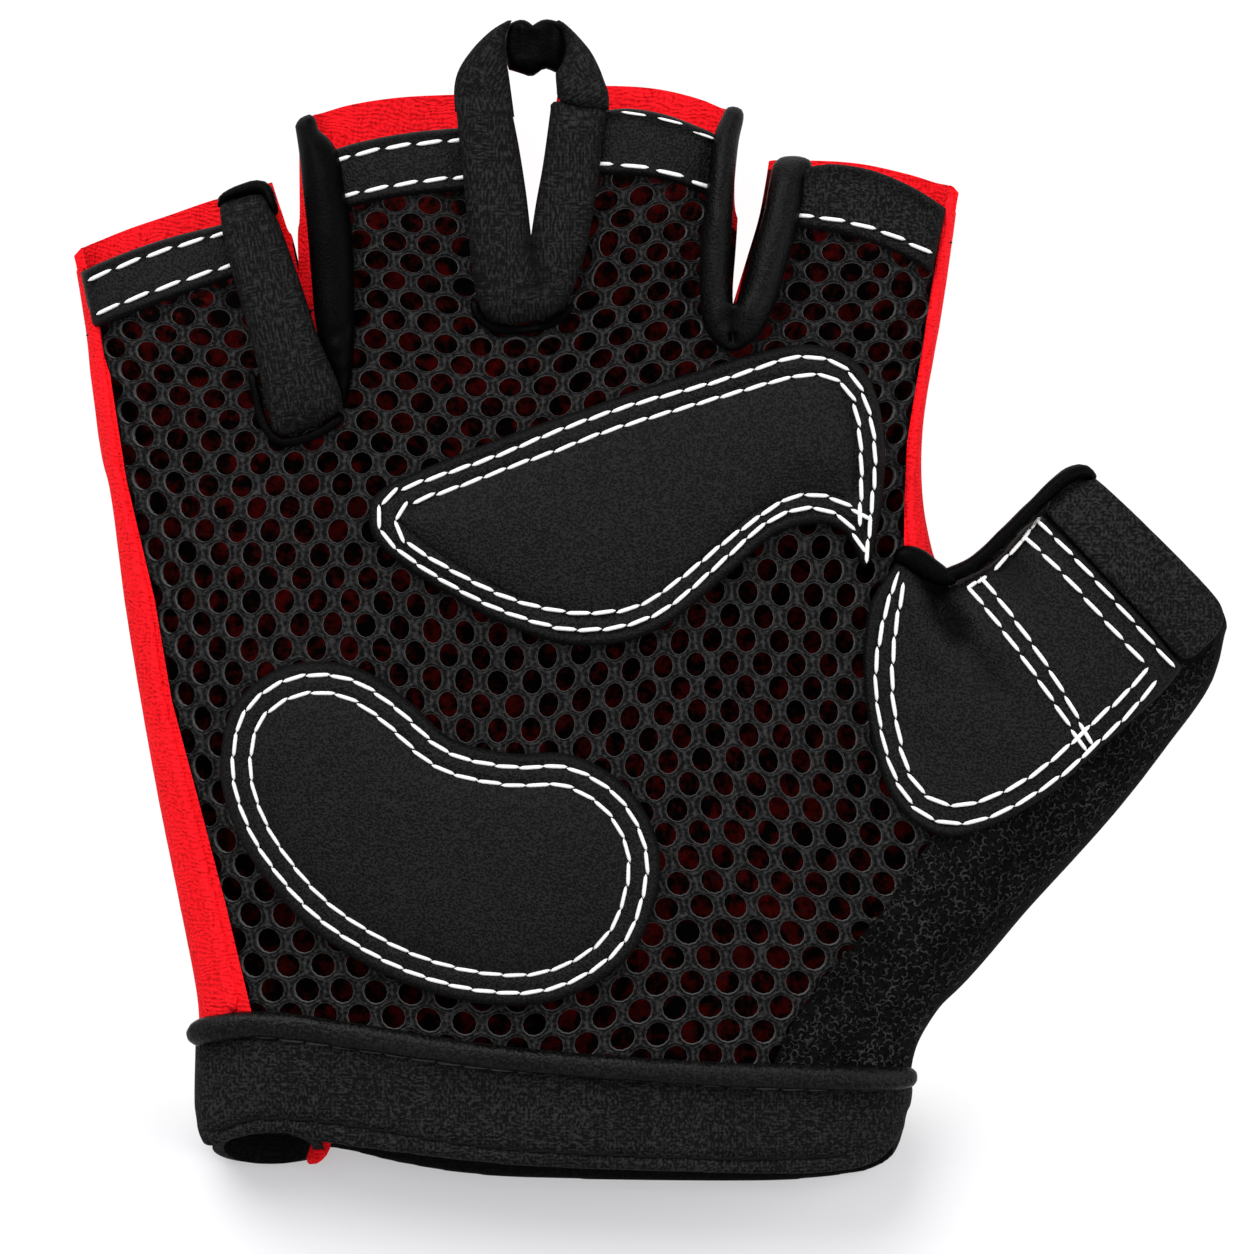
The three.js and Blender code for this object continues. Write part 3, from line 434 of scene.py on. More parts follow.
class Surface:
    # height and slope of some meshes, seen from above
    eye, middle = 0.2, 0.012

    def __init__(self, things):
        verts, faces = mergeParts([readMesh(thing) for thing in things])
        self.tree = BVHTree.FromPolygons(verts.tolist(), faces)

    def hits(self, points):
        down = Vector((0, 0, -1))
        return [self.tree.ray_cast(Vector((x, y, self.eye)), down) for x, y in points]

    def slope(self, points):
        # 1 where the surface faces straight up, 0 where it is missed
        return np.array([0.0 if hit[0] is None else abs(hit[1].z) for hit in self.hits(points)])

    def height(self, points):
        # beside the surface, the height of its nearest place
        out = []
        for (x, y), hit in zip(points, self.hits(points)):
            near = self.tree.find_nearest(Vector((x, y, self.middle))) if hit[0] is None else hit
            out.append(near[0].z)
        return np.array(out)


form = buildForm()
surface = Surface([form])
print("hand form", len(form.data.polygons))


# laid pieces: leather, padding and bands shaped over the form
def fillLoop(loop, spacing, insets):
    points = [loop]
    for inset in insets:
        ring = grown(loop, -inset)
        far = edgeDistance(ring, loop) > inset * 0.93
        points.append(ring[far & insideLoop(ring, loop)])
    low, high = loop.min(axis=0), loop.max(axis=0)
    xs = np.arange(low[0], high[0], spacing)
    ys = np.arange(low[1], high[1], spacing * 0.866)
    grid = np.array([(x + (0.5 * spacing if j % 2 else 0.0), y) for j, y in enumerate(ys) for x in xs])
    grid = grid[insideLoop(grid, loop)]
    points.append(grid[edgeDistance(grid, loop) > max(insets) + spacing * 0.55])
    edges = [(i, (i + 1) % len(loop)) for i in range(len(loop))]
    result = delaunay_2d_cdt([Vector(point) for point in np.vstack(points)], edges, [], 1, 1e-7)
    verts = np.array([tuple(v) for v in result[0]])
    return verts, [upFace(verts, face) for face in result[2]]


def closedSheet(name, plan, faces, top, bottom):
    count = len(plan)
    verts = np.vstack([np.column_stack([plan, top]), np.column_stack([plan, bottom])])
    directed = dict.fromkeys((face[i], face[(i + 1) % 3]) for face in faces for i in range(3))
    rim = [edge for edge in directed if (edge[1], edge[0]) not in directed]
    allFaces = list(faces) + [(c + count, b + count, a + count) for a, b, c in faces]
    allFaces += [(b, a, a + count, b + count) for a, b in rim]
    return makeObject(name, verts, allFaces)


def markPaintedShade(piece, deep):
    # painted shade: how far a place lies in a crease or at an edge; the shaders darken the colour there as
    # shade
    writeLayer(piece, "deep", "FLOAT", np.clip(np.tile(deep, 2), 0.0, 1.0))


laid = {
    "edge": 0.0013, "edgeShade": 0.6, "flatEdge": 0.002, "under": 0.0003,
    "insets": (0.0002, 0.0005, 0.0009, 0.0015),
}


def layPiece(name, loop, profile, wrinkle, spacing=0.001, base=0.0002, insets=laid["insets"]):
    plan, faces = fillLoop(loop, spacing, insets)
    far = edgeDistance(plan, loop)
    far[:len(loop)] = 0.0
    ground = surface.height(plan) + base
    shape = wrinkle(plan) * smoothStep(far / laid["flatEdge"])
    # painted shade, darker along the edge and in the creases
    deep = np.exp(-(far / laid["edge"]) ** 2) * laid["edgeShade"] + np.clip(-shape / 0.0010 - 0.25, 0.0, 1.0)
    piece = closedSheet(name, plan, faces, ground + profile(far) + shape, ground - laid["under"])
    markPaintedShade(piece, deep)
    return piece


def ripple(plan, scale, seed, direction=None):
    # cheap smooth noise from a few sine waves
    rng = np.random.default_rng(seed)
    out = np.zeros(len(plan))
    for _ in range(waveCount["ripple"]):
        angle = rng.uniform(0, math.pi) if direction is None else direction + rng.normal(0, 0.25)
        wave = scale * rng.uniform(0.6, 1.7)
        phase = rng.uniform(0, 6.28)
        out += np.sin((plan[:, 0] * math.cos(angle) + plan[:, 1] * math.sin(angle)) / wave * fullTurn + phase)
    return out / waveCount["ripple"]


def creases(plan, rows):
    # rows: line ends, width and depth in metres
    out = np.zeros(len(plan))
    for start, end, wide, deep in rows:
        a, b = toPlan([start, end])
        run = b - a
        t = np.clip(((plan - a) @ run) / (run @ run), 0, 1)
        away = np.linalg.norm(plan - a - t[:, None] * run, axis=1)
        out -= deep * np.exp(-(away / wide) ** 2) * (1 - t ** 3)
    return out


# shader tools
class Wire:
    # a node socket that takes part in sums
    def __init__(self, book, socket):
        self.book, self.socket = book, socket

    def __add__(self, other):
        return self.book.math("ADD", self, other)

    def __radd__(self, other):
        return self.book.math("ADD", other, self)

    def __mul__(self, other):
        return self.book.math("MULTIPLY", self, other)

    def __rmul__(self, other):
        return self.book.math("MULTIPLY", other, self)

    def __sub__(self, other):
        return self.book.math("SUBTRACT", self, other)

    def __rsub__(self, other):
        return self.book.math("SUBTRACT", other, self)


class Book:
    # one material being written
    def __init__(self, name):
        self.material = bpy.data.materials.new(name)
        self.material.use_nodes = True
        self.tree = self.material.node_tree
        self.tree.nodes.clear()
        output = self.tree.nodes.new("ShaderNodeOutputMaterial")
        self.shader = self.tree.nodes.new("ShaderNodeBsdfPrincipled")
        self.tree.links.new(self.shader.outputs[0], output.inputs[0])

    def put(self, socket, value):
        if isinstance(value, Wire):
            self.tree.links.new(value.socket, socket)
        else:
            socket.default_value = value

    def node(self, kind, settings, inputs, out=0):
        node = self.tree.nodes.new(kind)
        for key, value in settings.items():
            setattr(node, key, value)
        for key, value in inputs.items():
            self.put(node.inputs[key], value)
        return Wire(self, node.outputs[out])

    def math(self, operation, *values):
        return self.node("ShaderNodeMath", {"operation": operation}, dict(enumerate(values)))

    def mixColour(self, factor, first, second):
        return self.node("ShaderNodeMix", {"data_type": "RGBA"}, {0: factor, 6: first, 7: second}, out=2)

    def mixValue(self, factor, first, second):
        return self.node("ShaderNodeMix", {"data_type": "FLOAT"}, {0: factor, 2: first, 3: second})

    def ramp(self, value, low, high, toLow=0.0, toHigh=1.0):
        ends = {"From Min": low, "From Max": high, "To Min": toLow, "To Max": toHigh}
        return self.node("ShaderNodeMapRange", {"interpolation_type": "SMOOTHSTEP"}, {"Value": value, **ends})

    def noise(self, vector, scale, detail=2.0, rough=0.5):
        return self.node("ShaderNodeTexNoise", {},
                         {"Vector": vector, "Scale": scale, "Detail": detail, "Roughness": rough})

    def cells(self, vector, scale):
        return self.node("ShaderNodeTexVoronoi", {}, {"Vector": vector, "Scale": scale})

    def place(self):
        return self.node("ShaderNodeTexCoord", {}, {}, out=3)

    def vector(self, name):
        return self.node("ShaderNodeAttribute", {"attribute_name": name}, {}, out=1)

    def value(self, name):
        return self.node("ShaderNodeAttribute", {"attribute_name": name}, {}, out=2)

    def split(self, vector, axis):
        return self.node("ShaderNodeSeparateXYZ", {}, {0: vector}, out=axis)

    def join(self, x, y, z):
        return self.node("ShaderNodeCombineXYZ", {}, {0: x, 1: y, 2: z})

    def finish(self, colour, rough, gloss, height, relief, distance):
        # colour, roughness, gloss and relief of the cloth; hands back the material
        self.set(Base_Color=colour, Roughness=rough, Specular_IOR_Level=gloss)
        bump = self.node("ShaderNodeBump", {}, {"Height": height, "Strength": relief, "Distance": distance})
        self.set(Normal=bump)
        return self.material

    def set(self, **values):
        for key, value in values.items():
            self.put(self.shader.inputs[key.replace("_", " ")], value)


def grey(value):
    return (value, value, value * 1.03, 1.0)


# repeats per metre of what the materials draw
grain = {
    "pebble": 3100.0, "pores": 2600.0, "fuzz": 4200.0, "fibre": 2300.0, "curl": 1500.0, "twist": 2400.0,
}


def leatherFinish(name, dark=0.001, light=0.0085, size=1.0, rough=0.56, gloss=0.1, relief=0.8):
    book = Book(name)
    where = book.place()
    pebble = book.noise(where, grain["pebble"] / size, 1.5, 0.6)
    pores = book.cells(where, grain["pores"] / size)
    broad = book.noise(where, 90.0, 3.0)
    shade = book.ramp(pebble * 0.9 + pores * 0.3 + broad * 0.15, 0.58, 0.80)
    # the deep layer is painted shade: darker along edges and in creases
    colour = book.mixColour(shade * (1.0 - book.value("deep")), grey(dark), grey(light))
    dull = book.ramp(broad + pebble * 0.5, 0.4, 1.1, rough - 0.06, rough + 0.12)
    return book.finish(colour, dull, gloss, pebble * 0.9 + pores * 0.5, relief, 0.0003)


def crepe(book, where, size, stretch, lean=0.0):
    # short crossing wrinkles of a stretch knit; patches turn from one direction to the other
    along, across, upward = (book.split(where, axis) for axis in range(3))
    bend = book.noise(where, 0.3 / size, 1.0)
    lengthwise = book.noise(book.join(along * stretch + bend * size, across, upward), 1.0 / size, 1.5)
    crosswise = book.noise(book.join(along, across * stretch + bend * size, upward + 0.37), 1.0 / size, 1.5)
    patch = book.ramp(book.noise(where, 0.09 / size, 1.0), 0.4 + lean, 0.6 + lean)
    step = fullTurn / (size * 1.5)
    weave = book.math("SINE", along * step + bend * 5.0) + book.math("SINE", across * step + bend * 5.0)
    return book.mixValue(patch, lengthwise, crosswise) + weave * 0.022


def knitFinish(name, dark, light, size=0.00042, stretch=0.55, lean=0.0, run=False):
    # a strap reads the run of its cloth, so that the wrinkles follow it
    book = Book(name)
    where = book.vector("run") if run else book.place()
    folds = crepe(book, where, size, stretch, lean)
    fuzz = book.noise(where, grain["fuzz"], 2.0, 0.6)
    broad = book.noise(where, 60.0, 2.0)
    shade = book.ramp(folds + fuzz * 0.35 + broad * 0.12, 0.64, 0.94)
    # the deep layer is painted shade: darker along edges and in creases
    colour = book.mixColour(shade * (1.0 - book.value("deep") * 0.9), grey(dark), grey(light))
    return book.finish(colour, 0.85, 0.08, folds + fuzz * 0.2, 0.9, 0.0005)


def redFinish(name):
    book = Book(name)
    where = book.place()
    folds = crepe(book, where, 0.00042, 0.45)
    fuzz = book.noise(where, grain["fuzz"], 2.0)
    broad = book.noise(where, 60.0, 2.0)
    drift = book.noise(where, 260.0, 2.0)
    ribs = book.math("SINE", book.split(where, 1) * 9600.0 + book.split(where, 0) * 1500.0 + drift * 30.0)
    shade = book.ramp(folds * 0.6 + ribs * 0.036 + fuzz * 0.3 + broad * 0.2, 0.34, 0.66)
    colour = book.mixColour(shade, (0.55, 0.003, 0.006, 1), (0.97, 0.010, 0.017, 1))
    return book.finish(colour, 0.85, 0.05, folds + ribs * 0.1 + fuzz * 0.25, 0.7, 0.0005)


def paintedShadeLiningFinish(name):
    # painted shade: the red lining seen through the net, darkened to blotches of black and deep red for the
    # shade inside the glove
    book = Book(name)
    where = book.place()
    blotch = book.noise(where, 420.0, 2.0, 0.6)
    fine = book.noise(where, 1700.0, 2.0)
    tint = book.ramp(blotch + fine * 0.35, 0.58, 0.98)
    pale = book.ramp(fine + blotch * 0.3, 0.72, 0.95)
    deep = book.mixColour(tint, (0.0012, 0.0004, 0.0004, 1), (0.095, 0.001, 0.0012, 1))
    return book.finish(book.mixColour(pale, deep, grey(0.008)), 0.9, 0.04, fine, 0.4, 0.0003)


def netFinish(name):
    book = Book(name)
    where = book.place()
    rim = book.value("rim")
    fibre = book.noise(where, grain["fibre"], 2.0, 0.65)
    curl = book.cells(where, grain["curl"])
    # painted highlight: the cords round each hole are painted light at the strand's middle, between its cords
    # and at the hole
    cords = book.math("COSINE", rim * (2 * fullTurn))
    body = book.ramp(fibre + curl * 0.4 + cords * 0.13, 0.52, 1.08)
    strand = book.mixColour(body, grey(0.0025), grey(0.032))
    # painted highlight on the raised cord at the hole's rim
    cord = book.ramp(rim, 0.6, 0.9)
    relief = fibre * 0.8 + curl * 0.6 + cords * 0.25 + cord * 0.5
    return book.finish(book.mixColour(cord, strand, grey(0.085)), 0.8, 0.08, relief, 0.8, 0.0004)


def terryFinish(name, dark, light):
    book = Book(name)
    where = book.place()
    fuzz = book.noise(where, grain["curl"], 3.0, 0.7)
    broad = book.noise(where, 160.0, 2.0)
    shade = book.ramp(fuzz * 0.7 + broad * 0.4, 0.42, 0.8)
    return book.finish(book.mixColour(shade, grey(dark), grey(light)), 0.95, 0.06, fuzz, 0.9, 0.0005)


def threadFinish(name, colour, rough, gloss):
    book = Book(name)
    twist = book.noise(book.place(), grain["twist"], 2.0)
    low = tuple(c * 0.86 for c in colour[:3]) + (1.0,)
    shade = book.mixColour(book.ramp(twist, 0.35, 0.65), low, colour)
    return book.finish(shade, rough, gloss, twist, 0.3, 0.0001)


finishes = {
    "leather": leatherFinish("fine grain black leather", dark=0.0007, light=0.0105),
    "smoothLeather": leatherFinish("smooth black leather", 0.0002, 0.0012, 0.8, 0.44, 0.03, 0.3),
    "binding": leatherFinish("binding leather", 0.0003, 0.0042, 1.1, 0.42, 0.08, 0.4),
    "piping": leatherFinish("piping leather", 0.0006, 0.006, 1.3, 0.4, 0.12, 0.5),
    "knit": knitFinish("crepe black knit", 0.0028, 0.022, 0.00036, 0.62),
    "strapKnit": knitFinish("strap knit", 0.0028, 0.020, 0.00034, 0.36, 0.07, run=True),
    # a darker copy of the knit: painted shade for the inside of the cuff and the fold
    "shadedInnerKnit": knitFinish("knit, inside, painted shade", 0.0008, 0.004),
    "red": redFinish("red stretch cloth"),
    "lining": paintedShadeLiningFinish("red lining in painted shade"),
    "net": netFinish("knitted net"),
    "terry": terryFinish("black terry", 0.0008, 0.006),
    # the loops are painted lighter than the terry, as painted highlight
    "terryLoopHighlight": terryFinish("terry loops", 0.010, 0.052),
    "white": threadFinish("white thread", (0.93, 0.93, 0.92, 1.0), 0.55, 0.4),
    "dark": threadFinish("charcoal thread", (0.045, 0.045, 0.046, 1.0), 0.8, 0.05),
    "black": threadFinish("black thread", (0.006, 0.006, 0.0062, 1.0), 0.85, 0.05),
}


def wear(thing, *names):
    thing.data.materials.clear()
    for name in names:
        thing.data.materials.append(finishes[name])
    return thing


def finishPiece(thing, nodes):
    # the piece rides on the glove and stands for its solids; small work stands for none
    thing.name = thing.name.replace(" ", "-")
    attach(thing, "root")
    if nodes:
        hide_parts(*nodes)


# node groups
def socketOf(tree, name):
    items = [item for item in tree.interface.items_tree if item.in_out == "INPUT"]
    return next(item.identifier for item in items if item.name == name)


def newTree(name, sizes):
    tree = bpy.data.node_groups.new(name, "GeometryNodeTree")
    sockets = tree.interface
    sockets.new_socket("Geometry", in_out="INPUT", socket_type="NodeSocketGeometry")
    for label, value in sizes.items():
        sockets.new_socket(label, in_out="INPUT", socket_type="NodeSocketFloat").default_value = value
    sockets.new_socket("Finish", in_out="INPUT", socket_type="NodeSocketMaterial")
    sockets.new_socket("Geometry", in_out="OUTPUT", socket_type="NodeSocketGeometry")
    return tree, tree.nodes.new("NodeGroupInput"), tree.nodes.new("NodeGroupOutput")


def addNode(tree, kind, settings=None, **inputs):
    # an input is named, or numbered as i0, i1 and so on
    node = tree.nodes.new(kind)
    for key, value in (settings or {}).items():
        setattr(node, key, value)
    for key, value in inputs.items():
        numbered = key[0] == "i" and key[1:].isdigit()
        socket = node.inputs[int(key[1:]) if numbered else key.replace("_", " ")]
        if isinstance(value, bpy.types.NodeSocket):
            tree.links.new(value, socket)
        else:
            socket.default_value = value
    return node


def addMath(tree, operation, *values):
    inputs = {f"i{index}": value for index, value in enumerate(values)}
    return addNode(tree, "ShaderNodeMath", {"operation": operation}, **inputs).outputs[0]


def endTree(tree, start, end, geometry):
    # instances become plain mesh and take the finish
    real = addNode(tree, "GeometryNodeRealizeInstances", Geometry=geometry)
    painted = addNode(tree, "GeometryNodeSetMaterial", Geometry=real.outputs[0],
                      Material=start.outputs["Finish"])
    tree.links.new(painted.outputs[0], end.inputs[0])
    return tree


def addPattern(thing, tree, values):
    modifier = thing.modifiers.new("pattern", "NODES")
    modifier.node_group = tree
    for label, value in values.items():
        modifier[socketOf(tree, label)] = value


def growWith(thing, tree, values):
    addPattern(thing, tree, values)
    return bake(thing)


stitches = {
    "pitch": 0.0036, "length": 0.0038, "thread": 0.00026, "lift": 0.0002, "slant": 0.0001, "step": 0.0006,
}


def stitchTree():
    tree, start, end = newTree("stitches along a seam", {
        "Pitch": 0.0036, "Length": 0.0038, "Thread": 0.0003,
    })
    spots = addNode(tree, "GeometryNodeResampleCurve", {"mode": "LENGTH"}, Curve=start.outputs["Geometry"],
                    Length=start.outputs["Pitch"])
    # one stitch lies a little aslant and thins towards both ends
    half = addMath(tree, "MULTIPLY", start.outputs["Length"], 0.5)
    back = addMath(tree, "MULTIPLY", start.outputs["Length"], -0.5)
    tip = addNode(tree, "ShaderNodeCombineXYZ", X=half, Y=stitches["slant"])
    tail = addNode(tree, "ShaderNodeCombineXYZ", X=back, Y=-stitches["slant"])
    line = addNode(tree, "GeometryNodeCurvePrimitiveLine", Start=tail.outputs[0], End=tip.outputs[0])
    fine = addNode(tree, "GeometryNodeResampleCurve", Curve=line.outputs[0], Count=9)
    where = tree.nodes.new("GeometryNodeSplineParameter")
    away = addMath(tree, "ABSOLUTE", addMath(tree, "SUBTRACT", where.outputs["Factor"], 0.5))
    thinned = addMath(tree, "POWER", addMath(tree, "MULTIPLY", away, 2.0), 4.5)
    full = addMath(tree, "POWER", addMath(tree, "SUBTRACT", 1.0, thinned), 0.55)
    radius = addMath(tree, "MULTIPLY_ADD", full, start.outputs["Thread"], 0.00003)
    ring = addNode(tree, "GeometryNodeCurvePrimitiveCircle", Resolution=8, Radius=1.0)
    shaped = addNode(tree, "GeometryNodeSetCurveRadius", Curve=fine.outputs[0], Radius=radius)
    reader = tree.nodes.new("GeometryNodeInputRadius")
    body = addNode(tree, "GeometryNodeCurveToMesh", Curve=shaped.outputs[0],
                   Profile_Curve=ring.outputs["Curve"], Scale=reader.outputs[0], Fill_Caps=True)
    tangent = tree.nodes.new("GeometryNodeInputTangent")
    turn = addNode(tree, "FunctionNodeAlignRotationToVector", {"axis": "X"}, Vector=tangent.outputs[0])
    many = addNode(tree, "GeometryNodeInstanceOnPoints", Points=spots.outputs[0], Instance=body.outputs[0],
                   Rotation=turn.outputs[0])
    return endTree(tree, start, end, many.outputs[0])


stitchPattern = stitchTree()


def seamCurve(name, run, closed):
    data = bpy.data.curves.new(name, "CURVE")
    data.dimensions = "3D"
    spline = data.splines.new("POLY")
    spline.points.add(len(run) - 1)
    spline.points.foreach_set("co", np.column_stack([run, np.ones(len(run))]).ravel())
    spline.use_cyclic_u = closed
    return linkUp(name, data)


def layRun(run, ground, closed, lift):
    # a plan line laid on the pieces below it
    run = resample(run, stitches["step"], closed)
    z = np.pad(ground.height(run), 2, mode="wrap" if closed else "edge")
    return np.column_stack([run, np.convolve(z, np.ones(5) / 5, mode="valid") + lift])


def stitch(name, runs, ground, closed=False, pitch=stitches["pitch"], length=stitches["length"],
           thread=stitches["thread"], finish="white", lift=stitches["lift"]):
    # each run is fitted with whole stitches
    things = []
    for index, run in enumerate(runs):
        run = layRun(run, ground, closed, lift)
        size = np.sum(np.linalg.norm(np.diff(run, axis=0), axis=1))
        count = max(2, round(size / pitch))
        if not closed:
            # half a stitch short at either end
            margin, along = 0.5 * size / count, walked(run)
            run = pointsAt(run, along, np.linspace(margin, along[-1] - margin, len(run)))
            count, size = max(1, count - 1), size - 2 * margin
        curve = seamCurve(f"{name} line", run, closed)
        addPattern(curve, stitchPattern, {"Pitch": size / count, "Length": length * (size / count) / pitch,
                                          "Thread": thread, "Finish": finishes[finish]})
        things.append(linkUp(f"{name} {index}", plainMesh(curve)))
        drop(curve)
    joined = joinObjects(things, name)
    wear(joined, finish)
    finishPiece(joined, [])


# cloth shell: back, terry and cuff
trimLoop = smoothLoop(mouthTrim, 0.0012)


def cutShell():
    hollow = combine(copyOf(form, "shell"), offsetForm(form, -glove["wall"], "inner"), "DIFFERENCE")
    return combine(hollow, prism("trim", trimLoop), "INTERSECT")


def palmCut(rows, grow):
    return prism("palm cut", grown(toPlan(rows), grow), splitZ - grow, skyZ)


def markInside(thing, outside, inside):
    # inner faces wear the lining, painted dark as the shade inside the glove, but the cloth at the finger
    # mouths keeps its colour
    spots = np.array([face.center for face in thing.data.polygons])
    atMouth = np.zeros(len(spots), dtype=bool)
    for rows in fingerMouths:
        atMouth |= insideLoop(spots[:, :2], grown(toPlan(rows), glove["hem"]))
    depths = [surface.tree.find_nearest(Vector(spot))[3] for spot in spots]
    slots = [1 if depth > glove["wall"] / 2 and not mouth else 0 for depth, mouth in zip(depths, atMouth)]
    wear(thing, outside, inside)
    thing.data.polygons.foreach_set("material_index", slots)


def shadeByAngle(thing):
    smoothFaces(thing)
    thing.data.set_sharp_from_angle(angle=math.radians(40))


cuffBelow = list(cuffTop) + [(0.2695, -0.5584), (-0.4324, -0.5584)]
shell = cutShell()
cuffCut = prism("cuff cut", grown(toPlan(cuffBelow), glove["seam"]))
above = combine(copyOf(shell, "above cuff"), cuffCut, "DIFFERENCE")

backPanel = copyOf(above, "back panel")
for rows in [netOutline, terryOutline, *fingerMouths]:
    combine(backPanel, palmCut(rows, glove["seam"]), "DIFFERENCE")
markInside(backPanel, "red", "lining")
shadeByAngle(backPanel)
finishPiece(backPanel, ["back_panel"])
print("back panel", len(backPanel.data.polygons))

terryPanel = combine(above, palmCut(terryOutline, 0.0), "INTERSECT")
terryPanel.name = "terry panel"
combine(terryPanel, palmCut(netOutline, glove["seam"]), "DIFFERENCE")
wear(terryPanel, "terry")
shadeByAngle(terryPanel)
finishPiece(terryPanel, ["terry_panel"])
print("terry", len(terryPanel.data.polygons))

upperPad = [
    (-0.24, 0.0708), (-0.2314, 0.094), (-0.1828, 0.1172), (-0.1248, 0.1403), (-0.0659, 0.1609),
    (-0.0078, 0.1807), (0.0511, 0.1996), (0.0953, 0.2133), (0.1395, 0.2193), (0.1768, 0.2056),
    (0.1958, 0.1747), (0.2028, 0.1292), (0.201, 0.0871), (0.195, 0.0545), (0.1915, 0.0373),
    (0.1854, 0.0279, 1), (0.1802, 0.0339, 1), (0.1742, 0.0485), (0.162, 0.0622), (0.1378, 0.0657),
    (0.1049, 0.0545), (0.0659, 0.021), (0.0182, -0.0176), (-0.0225, -0.0348), (-0.0728, -0.0365),
    (-0.1248, -0.0193), (-0.169, 0.0039), (-0.2062, 0.027), (-0.2331, 0.0502),
]
heelPad = [
    (-0.3683, -0.1421), (-0.3588, -0.0931), (-0.3258, -0.0614), (-0.2851, -0.0511), (-0.2444, -0.0588),
    (-0.2062, -0.0845), (-0.1681, -0.1172), (-0.1179, -0.1292), (-0.0685, -0.13), (-0.0251, -0.1524),
    (0.0009, -0.1876), (0.0095, -0.2305), (-0.0069, -0.288), (-0.0416, -0.3232), (-0.0901, -0.3429),
    (-0.1464, -0.3429), (-0.2062, -0.3275), (-0.2591, -0.3009), (-0.3024, -0.2682), (-0.3414, -0.2202),
    (-0.3605, -0.1807),
]

# palm net: a staggered lattice turned into rounded cells
net = {
    "pitchMid": 0.0046, "pitchTop": 0.0049, "pitchMore": 0.0003, "rowMid": 0.00332, "rowTop": 0.00275,
    "rowLow": 0.0035, "tall": (0.94, 0.90, 0.88), "narrow": (0.67, 0.80, 0.82), "cord": 1.08,
    "thick": 0.0008, "sink": 0.0004, "jitter": 0.00016, "longest": 0.0085, "around": 0.009, "margin": 0.01,
    "edge": 0.0015, "mouth": 0.0018, "steepest": 0.45, "underPad": 0.006,
}
netEdge = resample(toPlan(netOutline), 0.002, True)


def netShares(y):
    # how far a row lies towards the fingers and towards the cuff, 0 to 1 each
    return smoothStep((y + 0.005) / 0.05), smoothStep((-y - 0.015) / 0.04)


def netLattice():
    low, high = netEdge.min(axis=0) - net["margin"], netEdge.max(axis=0) + net["margin"]
    rng = np.random.default_rng(7)
    points, y, row = [], low[1], 0
    while y < high[1]:
        share, lowShare = netShares(y)
        pitch = net["pitchMid"] + (net["pitchTop"] - net["pitchMid"]) * share + net["pitchMore"] * lowShare
        for x in np.arange(low[0] - net["margin"], high[0] + net["margin"], pitch):
            points.append((x + (pitch / 2 if row % 2 else 0.0), y))
        towardsTop = (net["rowTop"] - net["rowMid"]) * share
        y += net["rowMid"] + towardsTop + (net["rowLow"] - net["rowMid"]) * lowShare
        row += 1
    points = np.array(points)
    points = points + rng.normal(0, net["jitter"], points.shape)
    # the rows sag a little, as in a worn net
    points[:, 1] += 0.0012 * np.sin(points[:, 0] * 55.0) + 0.0006 * np.sin(points[:, 0] * 140.0 + 1.0)
    points = points[insideLoop(points, netEdge) | (edgeDistance(points, netEdge) < net["around"])]
    result = delaunay_2d_cdt([Vector(point) for point in points], [], [], 0, 1e-7)
    verts = np.array([tuple(v) for v in result[0]])
    faces = []
    for face in result[2]:
        a, b, c = (verts[i] for i in face)
        if max(np.linalg.norm(a - b), np.linalg.norm(b - c), np.linalg.norm(c - a)) < net["longest"]:
            faces.append(upFace(verts, face))
    beyond = edgeDistance(verts, netEdge) * ~insideLoop(verts, netEdge)
    z = surface.height(verts) - net["sink"] - np.minimum(beyond * 0.8, 0.0009)
    lattice = makeObject("palm net", np.column_stack([verts, z]), faces)
    share, lowShare = netShares(verts[:, 1])
    for label in ("tall", "narrow"):
        mid, top, base = net[label]
        writeLayer(lattice, label, "FLOAT", mid + (top - mid) * share + (base - mid) * lowShare)
    return lattice


def netTree():
    tree, start, end = newTree("net cells", {"Cord": net["cord"]})
    readers = [addNode(tree, "GeometryNodeInputNamedAttribute", {"data_type": "FLOAT"}, Name=label)
               for label in ("tall", "narrow")]
    tall, narrow = (reader.outputs[0] for reader in readers)
    outer = addMath(tree, "MULTIPLY", tall, start.outputs["Cord"])
    inner = addMath(tree, "DIVIDE", 1.0, start.outputs["Cord"])
    flow = addNode(tree, "GeometryNodeDualMesh", Mesh=start.outputs["Geometry"]).outputs[0]
    chosen = {}
    # first ring lies outside the cord around a hole, the second is the hole itself
    for size, squeeze, rim in ((outer, narrow, 0.5), (inner, None, 1.0)):
        ring = addNode(tree, "GeometryNodeExtrudeMesh", {"mode": "FACES"}, Mesh=flow, Offset_Scale=0.0,
                       Individual=True, **chosen)
        chosen = {"Selection": ring.outputs["Top"]}
        flow = addNode(tree, "GeometryNodeScaleElements", Geometry=ring.outputs["Mesh"], Scale=size,
                       **chosen).outputs[0]
        if squeeze is not None:
            flow = addNode(tree, "GeometryNodeScaleElements", {"scale_mode": "SINGLE_AXIS"}, Geometry=flow,
                           Scale=squeeze, Axis=(1.0, 0.0, 0.0), **chosen).outputs[0]
        flow = addNode(tree, "GeometryNodeStoreNamedAttribute", {"data_type": "FLOAT", "domain": "POINT"},
                       Geometry=flow, Name="rim", Value=rim, **chosen).outputs[0]
    holes = addNode(tree, "GeometryNodeDeleteGeometry", {"domain": "FACE"}, Geometry=flow, **chosen)
    return endTree(tree, start, end, holes.outputs[0])


